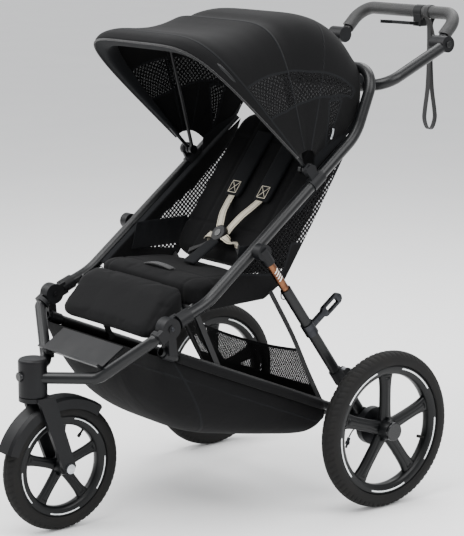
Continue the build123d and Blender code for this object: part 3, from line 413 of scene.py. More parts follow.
def makeWheel(tyreNode, rimNode, body, faces):
    centre, size = middleOf(tyreNode)
    outer, half = size[2] / 2, size[0] / 2
    bead = outer - wheelShape["beadDepth"]
    inner = bead - wheelShape["rimWall"]
    share = outer / wheelShape["rearRadius"]
    isRear = share > 0.9
    blocks = round(wheelShape["treadBlocks"] * share)
    makePiece(tyreNode + "Tread", [(tyreGrid(centre, outer, half, bead, blocks), True, True, False)],
              tyreRubber, body, [tyreNode])
    rimHalf = half * 0.73
    lip = np.array([(-rimHalf, bead), (-rimHalf - 0.6 * mm, bead - 5 * mm), (-rimHalf * 0.94, inner + 8 * mm),
                    (-rimHalf * 0.72, inner + 2 * mm), (-rimHalf * 0.3, inner), (rimHalf * 0.3, inner),
                    (rimHalf * 0.72, inner + 2 * mm), (rimHalf * 0.94, inner + 8 * mm),
                    (rimHalf + 0.6 * mm, bead - 5 * mm), (rimHalf, bead), (0, bead - 1 * mm)])
    hubSize = middleOf(rimNode)[1][0] / 2
    hub = np.array([(-hubSize, 9 * mm), (-hubSize, 19 * mm), (-hubSize + 2 * mm, 21 * mm), (-rimHalf, 23 * mm),
                    (-rimHalf * 0.5, 27 * mm), (rimHalf * 0.5, 27 * mm), (rimHalf, 23 * mm),
                    (hubSize - 2 * mm, 21 * mm), (hubSize, 19 * mm), (hubSize, 9 * mm)])
    if not isRear:
        hub[:, 1] *= 0.82
    parts = [(turned(np.vstack([outline, outline[:1]]), centre, (1, 0, 0), sides), False, True, False)
             for outline, sides in ((lip, 96), (hub, 40))]
    angles = math.pi / 2 + np.arange(wheelShape["spokeCount"]) * 2 * math.pi / wheelShape["spokeCount"]
    for angle in angles:
        parts.append((spokeGrid(centre, angle, 18 * mm * share, inner + 6 * mm, 37 * mm * share, 30 * mm * share,
                                45 * mm * share, 17.5 * mm * share), False, True, True))
        ridge = spokeGrid(centre, angle, 27 * mm * share, inner - 6 * mm, 22 * mm * share, 13 * mm * share,
                          20 * mm * share, 21 * mm * share)
        parts.append((ridge, False, True, True))
    makePiece(rimNode + "Moulded", parts, satinNylon, body, [rimNode])
    arcs = []
    for angle in angles + math.pi / wheelShape["spokeCount"]:
        turn = angle + np.radians(np.linspace(-0.5, 0.5, 21)) * wheelShape["arcDegrees"]
        radius = outer - (40.5 if isRear else 38.5) * mm
        path = np.stack([0 * turn, radius * np.cos(turn), radius * np.sin(turn)], 1) + centre
        section = roundSection(0.8 * mm, 3.6 * mm, 12, 4)
        for side in faces:
            shifted = path + np.array([side * (rimHalf + 0.15 * mm), 0, 0])
            arcs.append(bar(shifted, section, path - centre))
    makePiece(rimNode + "ReflectiveArcs", arcs, reflectiveTape, body)
    valveAngle = math.radians(-19 if isRear else 50)
    outwards = np.array([0, math.cos(valveAngle), math.sin(valveAngle)])
    stem = np.array([(0, 3.6), (3, 3.6), (4, 2.7), (13, 2.7), (14, 3.9), (22, 3.9), (23, 3.2), (23.5, 1)]) * mm
    makePiece(rimNode + "Valve", [lathe(stem, centre + outwards * (inner + 3 * mm), -outwards, 16)],
              tyreRubber, body)


makeWheel("front_tyre", "front_rim", "front_wheel", (-1, 1))
makeWheel("rear_tyre_left", "rear_rim_left", "left_wheel", (1, -1))
makeWheel("rear_tyre_right", "rear_rim_right", "right_wheel", (1, -1))
print("wheels made")

# ---- cloth finishes ----


def clothFinish(name, dark, light, thread, netPitch=9.0, bind="#111214", sheen=0.02, crease=0.9, seeThrough=1.0):
    # two crossed thread waves of thread mm on the UV map; soft creases 70 mm across; where the piece's net
    # field is above zero, diamonds netPitch mm apart are holes; a binding runs along net = 0 and seam = 0
    material = startMaterial(name)
    place = addNode(material, "ShaderNodeUVMap")
    period = 0.314 / (thread * mm)      # a wave texture of scale s repeats every 0.314 / s metres
    warp, weft = [addNode(material, "ShaderNodeTexWave", {"Vector": (place, "UV"), "Scale": period},
                          bands_direction=direction) for direction in "XY"]
    weave = addNode(material, "ShaderNodeMath", {0: (warp, "Fac"), 1: (weft, "Fac")}, operation="MULTIPLY")
    solid = addNode(material, "ShaderNodeTexCoord")
    folds = addNode(material, "ShaderNodeTexNoise",
                    {"Vector": (solid, "Object"), "Scale": 1000 / 70.0, "Detail": 2.5, "Distortion": 0.6})
    # colour follows the crease noise, dark where the cloth sinks and light where it rises: painted shade in the
    # creases, painted highlight on the crowns
    tone = addNode(material, "ShaderNodeMix", {"Factor": (folds, "Fac"), "A": linearColour(dark),
                                               "B": linearColour(light)}, data_type="RGBA")
    seam = addNode(material, "ShaderNodeAttribute", attribute_name="seam")
    onSeam = addNode(material, "ShaderNodeMapRange", {"Value": (seam, "Fac"), "From Min": 0.0034,
                                                      "From Max": 0.0008})
    net = addNode(material, "ShaderNodeAttribute", attribute_name="net")
    inside = addNode(material, "ShaderNodeMath", {0: (net, "Fac"), 1: 0.0001}, operation="GREATER_THAN")
    nearEdge = addNode(material, "ShaderNodeMath", {0: (net, "Fac"), 1: 0.0}, operation="COMPARE")
    nearEdge.inputs[2].default_value = 0.0026
    hasNet = addNode(material, "ShaderNodeMath", {0: (net, "Fac")}, operation="ABSOLUTE")
    real = addNode(material, "ShaderNodeMath", {0: (hasNet, "Value"), 1: 0.000001}, operation="GREATER_THAN")
    edge = addNode(material, "ShaderNodeMath", {0: (nearEdge, "Value"), 1: (real, "Value")},
                   operation="MULTIPLY")
    diagonal = addNode(material, "ShaderNodeMapping", {"Vector": (place, "UV"), "Rotation": (0, 0, math.pi / 4)})
    pitch = 0.314 / (netPitch * mm)
    one = addNode(material, "ShaderNodeTexWave", {"Vector": (diagonal, "Vector"), "Scale": pitch},
                  bands_direction="X")
    two = addNode(material, "ShaderNodeTexWave", {"Vector": (diagonal, "Vector"), "Scale": pitch},
                  bands_direction="Y")
    cell = addNode(material, "ShaderNodeMath", {0: (one, "Fac"), 1: (two, "Fac")}, operation="MULTIPLY")
    hole = addNode(material, "ShaderNodeMath", {0: (cell, "Value"), 1: 0.27}, operation="GREATER_THAN")
    openCell = addNode(material, "ShaderNodeMath", {0: (hole, "Value"), 1: (inside, "Value")},
                       operation="MULTIPLY")
    opening = addNode(material, "ShaderNodeMath", {0: (openCell, "Value"), 1: (edge, "Value")},
                    operation="SUBTRACT", use_clamp=True)
    alpha = addNode(material, "ShaderNodeMapRange", {"Value": (opening, "Value"), "To Min": 1.0,
                                                     "To Max": 1.0 - seeThrough})
    trim = addNode(material, "ShaderNodeMath", {0: (onSeam, "Result"), 1: (edge, "Value")}, operation="MAXIMUM")
    tinted = addNode(material, "ShaderNodeMix", {"Factor": (trim, "Value"), "A": (tone, "Result"),
                                                 "B": linearColour(bind)}, data_type="RGBA")
    fine = addNode(material, "ShaderNodeBump", {"Height": (weave, "Value"), "Distance": 0.25 * mm,
                                                "Strength": 0.6})
    soft = addNode(material, "ShaderNodeBump", {"Height": (folds, "Fac"), "Distance": crease * mm * 6,
                                                "Strength": 0.35, "Normal": (fine, "Normal")})
    piped = addNode(material, "ShaderNodeBump", {"Height": (trim, "Value"), "Distance": 1.4 * mm,
                                                 "Strength": 0.8, "Normal": (soft, "Normal")})
    return finishMaterial(material, Base_Color=(tinted, "Result"), Roughness=0.86, Alpha=(alpha, "Result"),
                          Specular_IOR_Level=0.12, Sheen_Weight=sheen, Sheen_Roughness=0.5,
                          Normal=(piped, "Normal"))


# polyester canopy cloth, plain weave, drawn at 3 mm a thread pair so that it shows as a fine tooth
canopyCloth = clothFinish("wovenPolyesterCanopy", "#060607", "#0a0a0b", 3.0, crease=0.5, seeThrough=0.2)
# the same cloth, thicker, on the seat: a little lighter along its crowns, a painted highlight, with painted
# shade in its creases
seatCloth = clothFinish("wovenPolyesterSeat", "#070708", "#0c0c0d", 2.6, crease=0.8)
# knitted spacer lining: the pale net of the seat's sides
sideCloth = clothFinish("knittedSideNet", "#070708", "#0b0b0c", 2.6, netPitch=8.5, crease=0.8, seeThrough=0.7)
# coated basket cloth: smoother and tighter, with a fine see-through net along its top at the back
basketCloth = clothFinish("coatedBasketCloth", "#060607", "#0b0b0c", 3.2, netPitch=4.5, sheen=0.02, crease=1.2,
                          seeThrough=0.8)


def webFinish(name, base, stripe, stripeWide, rib=2.2):
    # woven strap: ribs across it every rib mm, painted darker in their valleys and lighter on their tops as
    # painted shade and highlight, and dark lines where the edge field is below stripeWide mm
    material = startMaterial(name)
    place = addNode(material, "ShaderNodeUVMap")
    ribs = addNode(material, "ShaderNodeTexWave", {"Vector": (place, "UV"), "Scale": 0.314 / (rib * mm)},
                   bands_direction="X")
    edge = addNode(material, "ShaderNodeAttribute", attribute_name="line")
    onLine = addNode(material, "ShaderNodeMath", {0: (edge, "Fac"), 1: stripeWide * mm}, operation="LESS_THAN")
    # colour follows the rib height: painted shade in the rib valleys, painted highlight on the rib tops
    ribShadeAndHighlight = addNode(material, "ShaderNodeMix", {"Factor": (ribs, "Fac"), "A": linearColour(base[0]),
                                                "B": linearColour(base[1])}, data_type="RGBA")
    tone = addNode(material, "ShaderNodeMix", {"Factor": (onLine, "Value"), "A": (ribShadeAndHighlight, "Result"),
                                               "B": linearColour(stripe)}, data_type="RGBA")
    bump = addNode(material, "ShaderNodeBump", {"Height": (ribs, "Fac"), "Distance": 0.35 * mm, "Strength": 0.7})
    return finishMaterial(material, Base_Color=(tone, "Result"), Roughness=0.78, Sheen_Weight=0.2,
                          Specular_IOR_Level=0.3, Normal=(bump, "Normal"))


# cream harness webbing with dark lines inside each edge
creamWebbing = webFinish("wovenWebbingCream", ("#a89f8b", "#cfc8b6"), "#15140f", 1.0)
# black webbing of the wrist loop and small straps
blackWebbing = webFinish("wovenWebbingBlack", ("#0d0d0e", "#1a1a1b"), "#09090a", 0.6)
# cream sewing thread
creamThread = hardFinish("sewingThreadCream", "#cfc7b4", "#e6dfcd", 8, 1.5, 0.05, 0.7)


def strap(name, path, width, thick, lift, finish, body, nodes=(), sides=20):
    # a flat band carried along a path, its flat side facing lift; line holds the distance to the dark lines
    section = roundSection(width, thick, sides, 5)
    inset = np.abs(np.abs(section[:, 0]) - width * 0.34)
    return makePiece(name, [bar(path, section, lift)], finish, body, nodes,
                     {"line": np.tile(inset, (len(path), 1))})


# ---- canopy ----

canopyShape = {
    "hinge": (-0.157, 0.815),
    "sideStart": 11.2,       # degrees: the sides start this far up from the hinge
    "squareness": 5.6,       # power of the arch's superellipse
    "cloth": 1.6 * mm,
    # rows: angle from the rear, crown radius, half width (mm)
    "rearStations": [(28, 306, 213), (40, 312, 216), (47, 316, 218.5), (54, 321, 222), (62, 334, 226),
                     (70, 346, 228.5), (78, 353.5, 229.5), (86, 355, 229.5), (94, 350, 229), (100, 343.5, 230),
                     (105.5, 348.5, 231.5), (108, 350, 232)],
    "frontStations": [(104, 350.5, 233.5), (109, 350, 233), (114, 354, 233), (120, 367, 233.5),
                      (126, 392, 234), (131, 423, 234.5), (134.5, 439.5, 234.8), (136.6, 442.5, 235),
                      (137.6, 440, 234.6)],
    "facing": [(137.6, 440, 234.6), (137.4, 430, 231), (136.6, 409, 222), (134.8, 402.5, 219.5),
               (131.5, 402, 219.5)],
}


def archGrid(angle, crown, half, cols):
    # superellipse arch in a plane through the hinge axis: at direction t its radius is
    # ((|cos t| / half) ** n + (|sin t| / crown) ** n) ** (-1 / n); the plane leans by the angle
    low = math.radians(canopyShape["sideStart"])
    t = np.linspace(low, np.pi - low, cols)[None, :]
    n = canopyShape["squareness"]
    reach = ((np.abs(np.cos(t)) / half) ** n + (np.abs(np.sin(t)) / crown) ** n) ** (-1 / n)
    x, r = reach * np.cos(t), reach * np.sin(t)
    lean = np.radians(angle)
    y0, z0 = canopyShape["hinge"]
    return np.stack([x, y0 + r * np.cos(lean), z0 + r * np.sin(lean)], -1)


def stationRows(stations, rows):
    table = smoothPath(stations, rows)
    return table[:, 0:1], table[:, 1:2] * mm, table[:, 2:3] * mm


def sideFields(grid):
    # net: signed depth inside the side's window band and the strip below it; seam: distance to the seams
    y0, z0 = canopyShape["hinge"]
    y, z = grid[..., 1] - y0, grid[..., 2] - z0
    radius, angle = np.hypot(y, z), np.degrees(np.arctan2(z, y))
    top = np.interp(angle, [44, 50, 68, 88.7, 110, 131.7, 138], [233, 235, 229, 226, 243, 270, 280]) * mm
    low = np.interp(angle, [44, 50, 68, 92, 116, 132, 138], [214, 209, 178, 158, 156, 170, 176]) * mm
    band = np.minimum(top - radius, radius - low)
    band = np.minimum(band, (angle - 47) * 3 * mm)
    ahead, behind = y - 0.066, 0.114 - y - (0.161 - z) * 0.40
    strip = np.minimum(np.minimum(ahead, behind), np.minimum(0.155 - z, z - 0.05))
    net = np.where(np.abs(grid[..., 0]) > 0.12, np.maximum(band, strip), -1.0)
    return net, angle, radius


def seamDistance(angle, radius, seams):
    return np.min([np.abs(np.radians(angle - a)) * radius for a in seams], 0)


rearCols, rearRows = 121, 72
dense = smoothPath(canopyShape["rearStations"], 400)
share = np.linspace(0, 1, rearRows)[:, None]
low = math.radians(canopyShape["sideStart"])
direction = np.linspace(low, np.pi - low, rearCols)[None, :]
rise = 230 * np.tan(np.minimum(direction, np.pi - direction).clip(0, 0.95))
rearEdge = np.interp(rise, [46, 110, 160, 230, 290, 330], [38.5, 33.5, 30.5, 36, 44.5, 48])
leaning = rearEdge + (107.5 - rearEdge) * share
crowns = np.interp(leaning, dense[:, 0], dense[:, 1]) * mm
halves = np.interp(leaning, dense[:, 0], dense[:, 2]) * mm
rearGrid = archGrid(leaning, crowns, halves, rearCols)
netField, angles, radii = sideFields(rearGrid)
rearSheet = makePiece("canopyRearSheet", [(rearGrid, False, False, False)], canopyCloth, None,
                      ["canopy_rear_panel", "canopy_middle_panel"],
                      {"net": netField, "seam": seamDistance(angles, radii, (78, 105.5))}, closed=False)
thicken(rearSheet, canopyShape["cloth"])
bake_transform(rearSheet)

angle, crown, half = stationRows(canopyShape["frontStations"], 56)
frontGrid = archGrid(angle, crown, half, 121)
netField, angles, radii = sideFields(frontGrid)
frontSheet = makePiece("canopyFrontSheet", [(frontGrid, False, False, False)], canopyCloth, "canopy_front",
                       ["canopy_front_panel"],
                       {"net": np.where(angles < 131.5, netField, -1.0),
                        "seam": seamDistance(angles, radii, (104.8, 132.4))}, closed=False)
thicken(frontSheet, canopyShape["cloth"])

angle, crown, half = stationRows(canopyShape["facing"], 20)
facingGrid = archGrid(angle, crown, half, 97)
facing = makePiece("canopyFacing", [(facingGrid, False, False, False)], seatCloth, "canopy_front", (),
                   closed=False)
thicken(facing, canopyShape["cloth"])

rimGrid = archGrid(np.array([[137.7]]), np.array([[0.440]]), np.array([[0.2346]]), 97)
makePiece("canopyRimBinding", [bar(rimGrid[0], roundSection(5 * mm, 5 * mm, 12), (0, -0.72, -0.69))],
          blackWebbing, "canopy_front")
y0, z0 = canopyShape["hinge"]
for sign, side in ((1, "Left"), (-1, "Right")):
    boss = np.array([(-1, 15.5), (4, 15.5), (6.5, 13.5), (7.5, 8), (7.8, 1)]) * mm
    makePiece("canopyHingeBoss" + side, [lathe(boss, (sign * 0.2335, y0, z0), (sign, 0, 0), 40)],
              mouldedBlack, "upper_frame")
    pull = [(sign * 0.2265, -0.076, 0.905), (sign * 0.2275, -0.079, 0.893), (sign * 0.2275, -0.085, 0.880)]
    strap("canopyZipPull" + side, smoothPath(pull, 8), 5 * mm, 1.6 * mm, (sign, 0, 0), platedSteel,
          "upper_frame")
print("canopy made")

# ---- seat ----

seatShape = {
    # side outlines and half widths in mm; the caps are how far stuffing may push a point out
    "cushion": [(-246, 508), (-300, 512), (-438, 524), (-464, 519), (-465, 572), (-440, 579), (-300, 570),
                (-255, 567)],
    "cushionHalf": 201,
    "calf": [(-471, 519), (-490, 509), (-553, 460), (-571, 456), (-585, 467), (-582, 478), (-518, 551),
             (-489, 567), (-471, 572)],
    "calfHalf": 186,
    "back": [(3, 3), (417, 3), (417, 42), (3, 42)],
    "backHalf": 201,
    "backFoot": (-250, 574),
    "backTilt": math.radians(54),
    "voxel": 5 * mm,
    "cushionCap": 4 * mm,
    "calfCap": 5 * mm,
    "backCap": 5 * mm,
}


def onBack(up, out, x=0.0):
    # point up along the backrest and out behind its front face, both in mm
    tilt, (y0, z0) = seatShape["backTilt"], seatShape["backFoot"]
    y = y0 + np.asarray(up) * math.cos(tilt) + np.asarray(out) * math.sin(tilt)
    z = z0 + np.asarray(up) * math.sin(tilt) - np.asarray(out) * math.cos(tilt)
    return np.stack(np.broadcast_arrays(x, y, z), -1) * mm


def padGrid(corners, half, count=150, cols=61, soft=10):
    # even points round a closed outline, averaged with their neighbours so that corners round; along the
    # width the outline draws in to its middle by (1 - |x / half| ** 9) ** (1 / 5)
    loop = np.vstack([corners, corners[:1]]).astype(float)
    run = np.r_[0, np.cumsum(np.linalg.norm(np.diff(loop, axis=0), axis=1))]
    at = np.linspace(0, run[-1], count, endpoint=False)
    ring = np.stack([np.interp(at, run, loop[:, k]) for k in (0, 1)], 1)
    for _ in range(soft):
        ring = (np.roll(ring, 1, 0) + 2 * ring + np.roll(ring, -1, 0)) / 4
    x = half * np.sin(np.linspace(-np.pi / 2, np.pi / 2, cols) * 0.995)
    draw = (1 - np.abs(x / half) ** 9).clip(1e-4, 1) ** 0.2
    middle = ring.mean(0)
    y, z = [middle[k] + (ring[None, :, k] - middle[k]) * draw[:, None] for k in (0, 1)]
    return np.stack([np.broadcast_to(x[:, None], y.shape), y, z], -1) * mm


def stuffed(piece, cap):
    # cloth blown up from inside: remesh, 20 frames of pressure with no gravity, each point's way capped;
    # most points reach the cap, so the cloth sets the direction they move in and the cap sets how far
    scene = bpy.context.scene
    remesh = piece.modifiers.new("evenMesh", "REMESH")
    remesh.mode = "VOXEL"
    remesh.voxel_size = seatShape["voxel"]
    graph = bpy.context.evaluated_depsgraph_get()
    even = bpy.data.meshes.new_from_object(piece.evaluated_get(graph))
    piece.modifiers.clear()
    worker = bpy.data.objects.new("stuffingWorker", even)
    scene.collection.objects.link(worker)
    start = np.zeros(len(even.vertices) * 3)
    even.vertices.foreach_get("co", start)
    cloth = worker.modifiers.new("stuffing", "CLOTH")
    cloth.settings.use_pressure = True
    cloth.settings.uniform_pressure_force = 4
    cloth.settings.effector_weights.gravity = 0
    cloth.point_cache.frame_end = 20
    for step in range(1, 21):
        scene.frame_set(step)
    graph = bpy.context.evaluated_depsgraph_get()
    swollen = bpy.data.meshes.new_from_object(worker.evaluated_get(graph))
    end = np.zeros(len(swollen.vertices) * 3)
    swollen.vertices.foreach_get("co", end)
    start, end = start.reshape(-1, 3), end.reshape(-1, 3)
    way = end - start
    far = np.linalg.norm(way, axis=1, keepdims=True)
    end = start + way * np.minimum(1, cap / np.maximum(far, 1e-9))
    swollen.vertices.foreach_set("co", end.astype(np.float32).ravel())
    bpy.data.objects.remove(worker)
    scene.frame_set(1)
    swollen.materials.clear()
    swollen.materials.append(piece.data.materials[0])
    swollen.polygons.foreach_set("use_smooth", [True] * len(swollen.polygons))
    piece.data = swollen


def sewn(piece, distance, width, depth):
    # a sewn channel: points sink along their normals by depth times exp(-(distance / width) squared)
    mesh = piece.data
    count = len(mesh.vertices)
    points, normals = np.zeros(count * 3), np.zeros(count * 3)
    mesh.vertices.foreach_get("co", points)
    mesh.vertices.foreach_get("normal", normals)
    points, normals = points.reshape(-1, 3), normals.reshape(-1, 3)
    gap = distance(points)
    points = points - normals * (depth * np.exp(-(gap / width) ** 2))[:, None]
    mesh.vertices.foreach_set("co", points.astype(np.float32).ravel())
    field = mesh.attributes.get("seam") or mesh.attributes.new("seam", "FLOAT", "POINT")
    field.data.foreach_set("value", gap.astype(np.float32))
    mesh.update()
    smooth = piece.modifiers.new("roundOff", "SUBSURF")
    smooth.levels = smooth.render_levels = 1


def padCloth(name):
    # seat cloth on remeshed pads, which have no UV map: the tooth comes from fine noise in object space
    material = startMaterial(name)
    place = addNode(material, "ShaderNodeTexCoord")
    tooth = addNode(material, "ShaderNodeTexNoise", {"Vector": (place, "Object"), "Scale": 1000 / 2.4,
                                                     "Detail": 1.0})
    folds = addNode(material, "ShaderNodeTexNoise", {"Vector": (place, "Object"), "Scale": 1000 / 60.0,
                                                     "Detail": 2.5, "Distortion": 0.7})
    # colour follows the crease noise, dark where the cloth sinks and light where it rises: painted shade in the
    # creases, painted highlight on the crowns
    tone = addNode(material, "ShaderNodeMix", {"Factor": (folds, "Fac"), "A": linearColour("#070708"),
                                               "B": linearColour("#0c0c0d")}, data_type="RGBA")
    fine = addNode(material, "ShaderNodeBump", {"Height": (tooth, "Fac"), "Distance": 0.3 * mm, "Strength": 0.7})
    soft = addNode(material, "ShaderNodeBump", {"Height": (folds, "Fac"), "Distance": 6 * mm, "Strength": 0.3,
                                                "Normal": (fine, "Normal")})
    return finishMaterial(material, Base_Color=(tone, "Result"), Roughness=0.85, Specular_IOR_Level=0.12,
                          Sheen_Weight=0.02, Sheen_Roughness=0.5, Normal=(soft, "Normal"))


# woven polyester over foam: matt black with a fine tooth and slow broad creases, painted darker in the creases
# and lighter on the crowns as painted shade and highlight
padPolyester = padCloth("wovenPolyesterPads")

cushionGrid = padGrid(seatShape["cushion"], seatShape["cushionHalf"])
cushion = makePiece("seatCushionPad", [(cushionGrid, False, True, True)], padPolyester, None,
                    ["seat_cushion"])
stuffed(cushion, seatShape["cushionCap"])
sewn(cushion, lambda p: np.minimum(np.abs(np.abs(p[:, 0]) - 0.150),
                                   np.where(p[:, 2] > 0.56, np.abs(p[:, 1] + 0.395), 1)), 4 * mm, 2.5 * mm)
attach(cushion, "upper_frame")

calf = makePiece("calfRestPad", [(padGrid(seatShape["calf"], seatShape["calfHalf"]), False, True, True)],
                 padPolyester, None, ["calf_rest"])
stuffed(calf, seatShape["calfCap"])
sewn(calf, lambda p: np.abs(np.abs(p[:, 0]) - 0.168), 3 * mm, 1.6 * mm)
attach(calf, "upper_frame")

backOutline = [tuple(onBack(up, out)[1:] / mm) for up, out in seatShape["back"]]
back = makePiece("backrestPad", [(padGrid(backOutline, seatShape["backHalf"], 240, 61), False, True, True)],
                 padPolyester, None, ["backrest"])
stuffed(back, seatShape["backCap"])


def backSeams(p):
    # distance to the two long seams, the head panel's seam and the low cross seam
    tilt, (y0, z0) = seatShape["backTilt"], seatShape["backFoot"]
    up = (p[:, 1] - y0 * mm) * math.cos(tilt) + (p[:, 2] - z0 * mm) * math.sin(tilt)
    return np.minimum(np.abs(np.abs(p[:, 0]) - 0.112), np.minimum(np.abs(up - 0.335), np.abs(up - 0.095)))


sewn(back, backSeams, 5 * mm, 3 * mm)
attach(back, "seat_back")

padX, padWide = 56, 58
faceOut = onBack(0, -1) - onBack(0, 0)
waistFace = (0, -0.5, 0.86)
for sign, side in ((1, "Left"), (-1, "Right")):
    line = onBack(np.linspace(172, 352, 40), np.linspace(-8.4, -7.0, 40), sign * padX)
    taper = np.where(np.linspace(0, 1, 40) < 0.08, 0.86 + 1.75 * np.linspace(0, 1, 40), 1.0)
    section = roundSection(padWide * mm, 12 * mm, 24, 3.4)[None] * taper[:, None, None]
    pad = makePiece("shoulderPad" + side, [bar(line, section, faceOut)], seatCloth, "seat_back",
                    ["shoulder_pads"] if sign > 0 else ())
    # the sewn box: four sides and two diagonals of thread
    low, high, wide = 179, 210, 15
    ends = [((low, -wide), (low, wide)), ((high, -wide), (high, wide)), ((low, -wide), (high, -wide)),
            ((low, wide), (high, wide)), ((low, -wide), (high, wide)), ((low, wide), (high, -wide))]
    threads = []
    for (a, b), (c, d) in ends:
        run = np.linspace(0, 1, 6)
        path = onBack(a + (c - a) * run, -14.7, sign * padX + b + (d - b) * run)
        threads.append(bar(path, roundSection(1.3 * mm, 0.9 * mm, 8), faceOut))
    makePiece("shoulderStitch" + side, threads, creamThread, "seat_back")
    run = smoothPath([onBack(178, -9, sign * 55), onBack(150, -16, sign * 47), onBack(120, -23, sign * 36),
                      onBack(88, -24, sign * 22), onBack(72, -21.5, sign * 15)], 60)
    shoulder = strap("harnessStrap" + side, run, 23 * mm, 2.2 * mm, faceOut, creamWebbing, None,
                     ["harness_straps"] if sign > 0 else ())
    tuple(onBack(74, -21))
    tuple(onBack(165, -9))
    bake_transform(shoulder)
    loop = smoothPath([(sign * 0.017, -0.238, 0.637), (sign * 0.032, -0.246, 0.637),
                       (sign * 0.043, -0.240, 0.628), (sign * 0.046, -0.228, 0.622),
                       (sign * 0.052, -0.220, 0.616)], 30)
    strap("waistLoop" + side, loop, 20 * mm, 2.2 * mm, waistFace, creamWebbing, "upper_frame")
    tail = smoothPath([(sign * 0.052, -0.222, 0.617), (sign * 0.080, -0.232, 0.602),
                       (sign * 0.110, -0.246, 0.586)], 24)
    strap("waistStrap" + side, tail, 18 * mm, 2 * mm, waistFace, blackWebbing, "upper_frame")

line = smoothPath([(0, -0.330, 0.5815), (0, -0.316, 0.590), (0, -0.292, 0.603), (0, -0.266, 0.618),
                   (0, -0.2515, 0.6255)], 36)
swell = np.interp(np.linspace(0, 1, 36), [0, 0.1, 0.5, 0.9, 1], [0.9, 1.12, 1.0, 0.9, 0.8])[:, None, None]
section = roundSection(42 * mm, 9 * mm, 24, 3.2)[None] * swell
crotch = makePiece("crotchPad", [bar(line, section, waistFace)], seatCloth, "upper_frame", ["crotch_pad"])
arch = np.linspace(-1, 1, 30)
pull = np.stack([arch * 0.050, -0.418 + 0.004 * arch ** 2, 0.5845 + 0.0065 * (1 - arch ** 2)], 1)
strap("foldPullLoop", pull, 19 * mm, 2.6 * mm, (0, 0, 1), blackWebbing, "fold_pull", ["fold_pull_strap"])


mainTubeLine = [(-455, 541), (-15, 885), (45, 1035)]     # middle line of the main tube, y and z in mm


def sideLine(y, below):
    # height a little below the middle of the main tube's straight run (mm)
    (y0, z0), (y1, z1) = mainTubeLine[:2]
    return z0 + (z1 - z0) / (y1 - y0) * (y - y0) - below


def flatMap(piece, across, up):
    # UV map in metres, straight from two of the piece's own axes
    mesh = piece.data
    points, corners = np.zeros(len(mesh.vertices) * 3), np.zeros(len(mesh.loops), dtype=int)
    mesh.vertices.foreach_get("co", points)
    mesh.loops.foreach_get("vertex_index", corners)
    flat = points.reshape(-1, 3)[corners][:, [across, up]]
    mesh.uv_layers.active.data.foreach_set("uv", flat.astype(np.float32).ravel())


def convexDepth(y, z, corners):
    # signed depth inside a convex outline: the least distance to its edges, positive inside
    depth = []
    for (ya, za), (yb, zb) in zip(corners, corners[1:] + corners[:1]):
        length = math.hypot(yb - ya, zb - za)
        depth.append(((yb - ya) * (z - za) - (zb - za) * (y - ya)) / length)
    return np.min(depth, 0)


rows, cols = 70, 34
at = np.linspace(0, 1, rows)[:, None]
yTop = -430 + at * (-8 + 430)
zTop = sideLine(yTop, np.interp(yTop, [-430, -60, -8], [4, 4, 9]))
yLow = np.interp(at, [0, 0.38, 0.56, 0.84, 1], [-424, -268, -207, -100, -31])
zLow = np.interp(yLow, [-424, -268, -207, -100, -31], [517, 521, 557, 717, 826])
up = np.linspace(0, 1, cols)[None, :]
sideY, sideZ = yLow + (yTop - yLow) * up, zLow + (zTop - zLow) * up
upperWindow = [(-36, 834), (-232, 650), (-123, 633)]
lowerWindow = [(-273, 651), (-346, 588), (-213, 571), (-157, 725)]
sideNet = np.maximum(convexDepth(sideY, sideZ, upperWindow), convexDepth(sideY, sideZ, lowerWindow))
puff = 2.2 * np.sin(np.pi * up) ** 2 * np.sin(np.pi * at) ** 2
for sign, side in ((1, "Left"), (-1, "Right")):
    grid = np.stack([sign * (207.5 + puff), sideY, sideZ], -1) * mm
    panel = makePiece("seatSide" + side, [(grid, False, False, False)], sideCloth, None,
                      ["seat_sides"] if sign > 0 else (),
                      {"net": sideNet * mm, "seam": np.full((rows, cols), 1.0)}, closed=False)
    flatMap(panel, 1, 2)
    thicken(panel, 1.6 * mm)
    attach(panel, "upper_frame")
    flapY = np.linspace(-430, -12, 60)[:, None]
    reach = np.linspace(0, 1, 8)[None, :]
    flap = np.stack([sign * (207.5 + 14.5 * reach) + 0 * flapY, flapY + 0 * reach,
                     sideLine(flapY, 4) + 5 * np.sin(np.pi * reach / 2)], -1) * mm
    sleeve = makePiece("seatSideFlap" + side, [(flap, False, False, False)], seatCloth, "upper_frame", (),
                       closed=False)
    thicken(sleeve, 1.6 * mm)
    # gathered pocket lining low on the inside: pleats deepen towards its hem
    pleatY = np.linspace(-352, -196, 90)[:, None]
    rise = np.linspace(0, 1, 20)[None, :]
    inward = 1.4 + 1.2 * np.sin(pleatY / 5.2) * (0.3 + 0.7 * rise)
    lining = np.stack([sign * (204.6 - inward), pleatY + 16 * rise, 586 + 66 * rise + 0 * pleatY], -1) * mm
    pocket = makePiece("sidePocket" + side, [(lining, False, False, False)], seatCloth, "upper_frame", (),
                       closed=False)
    thicken(pocket, 1.0 * mm)

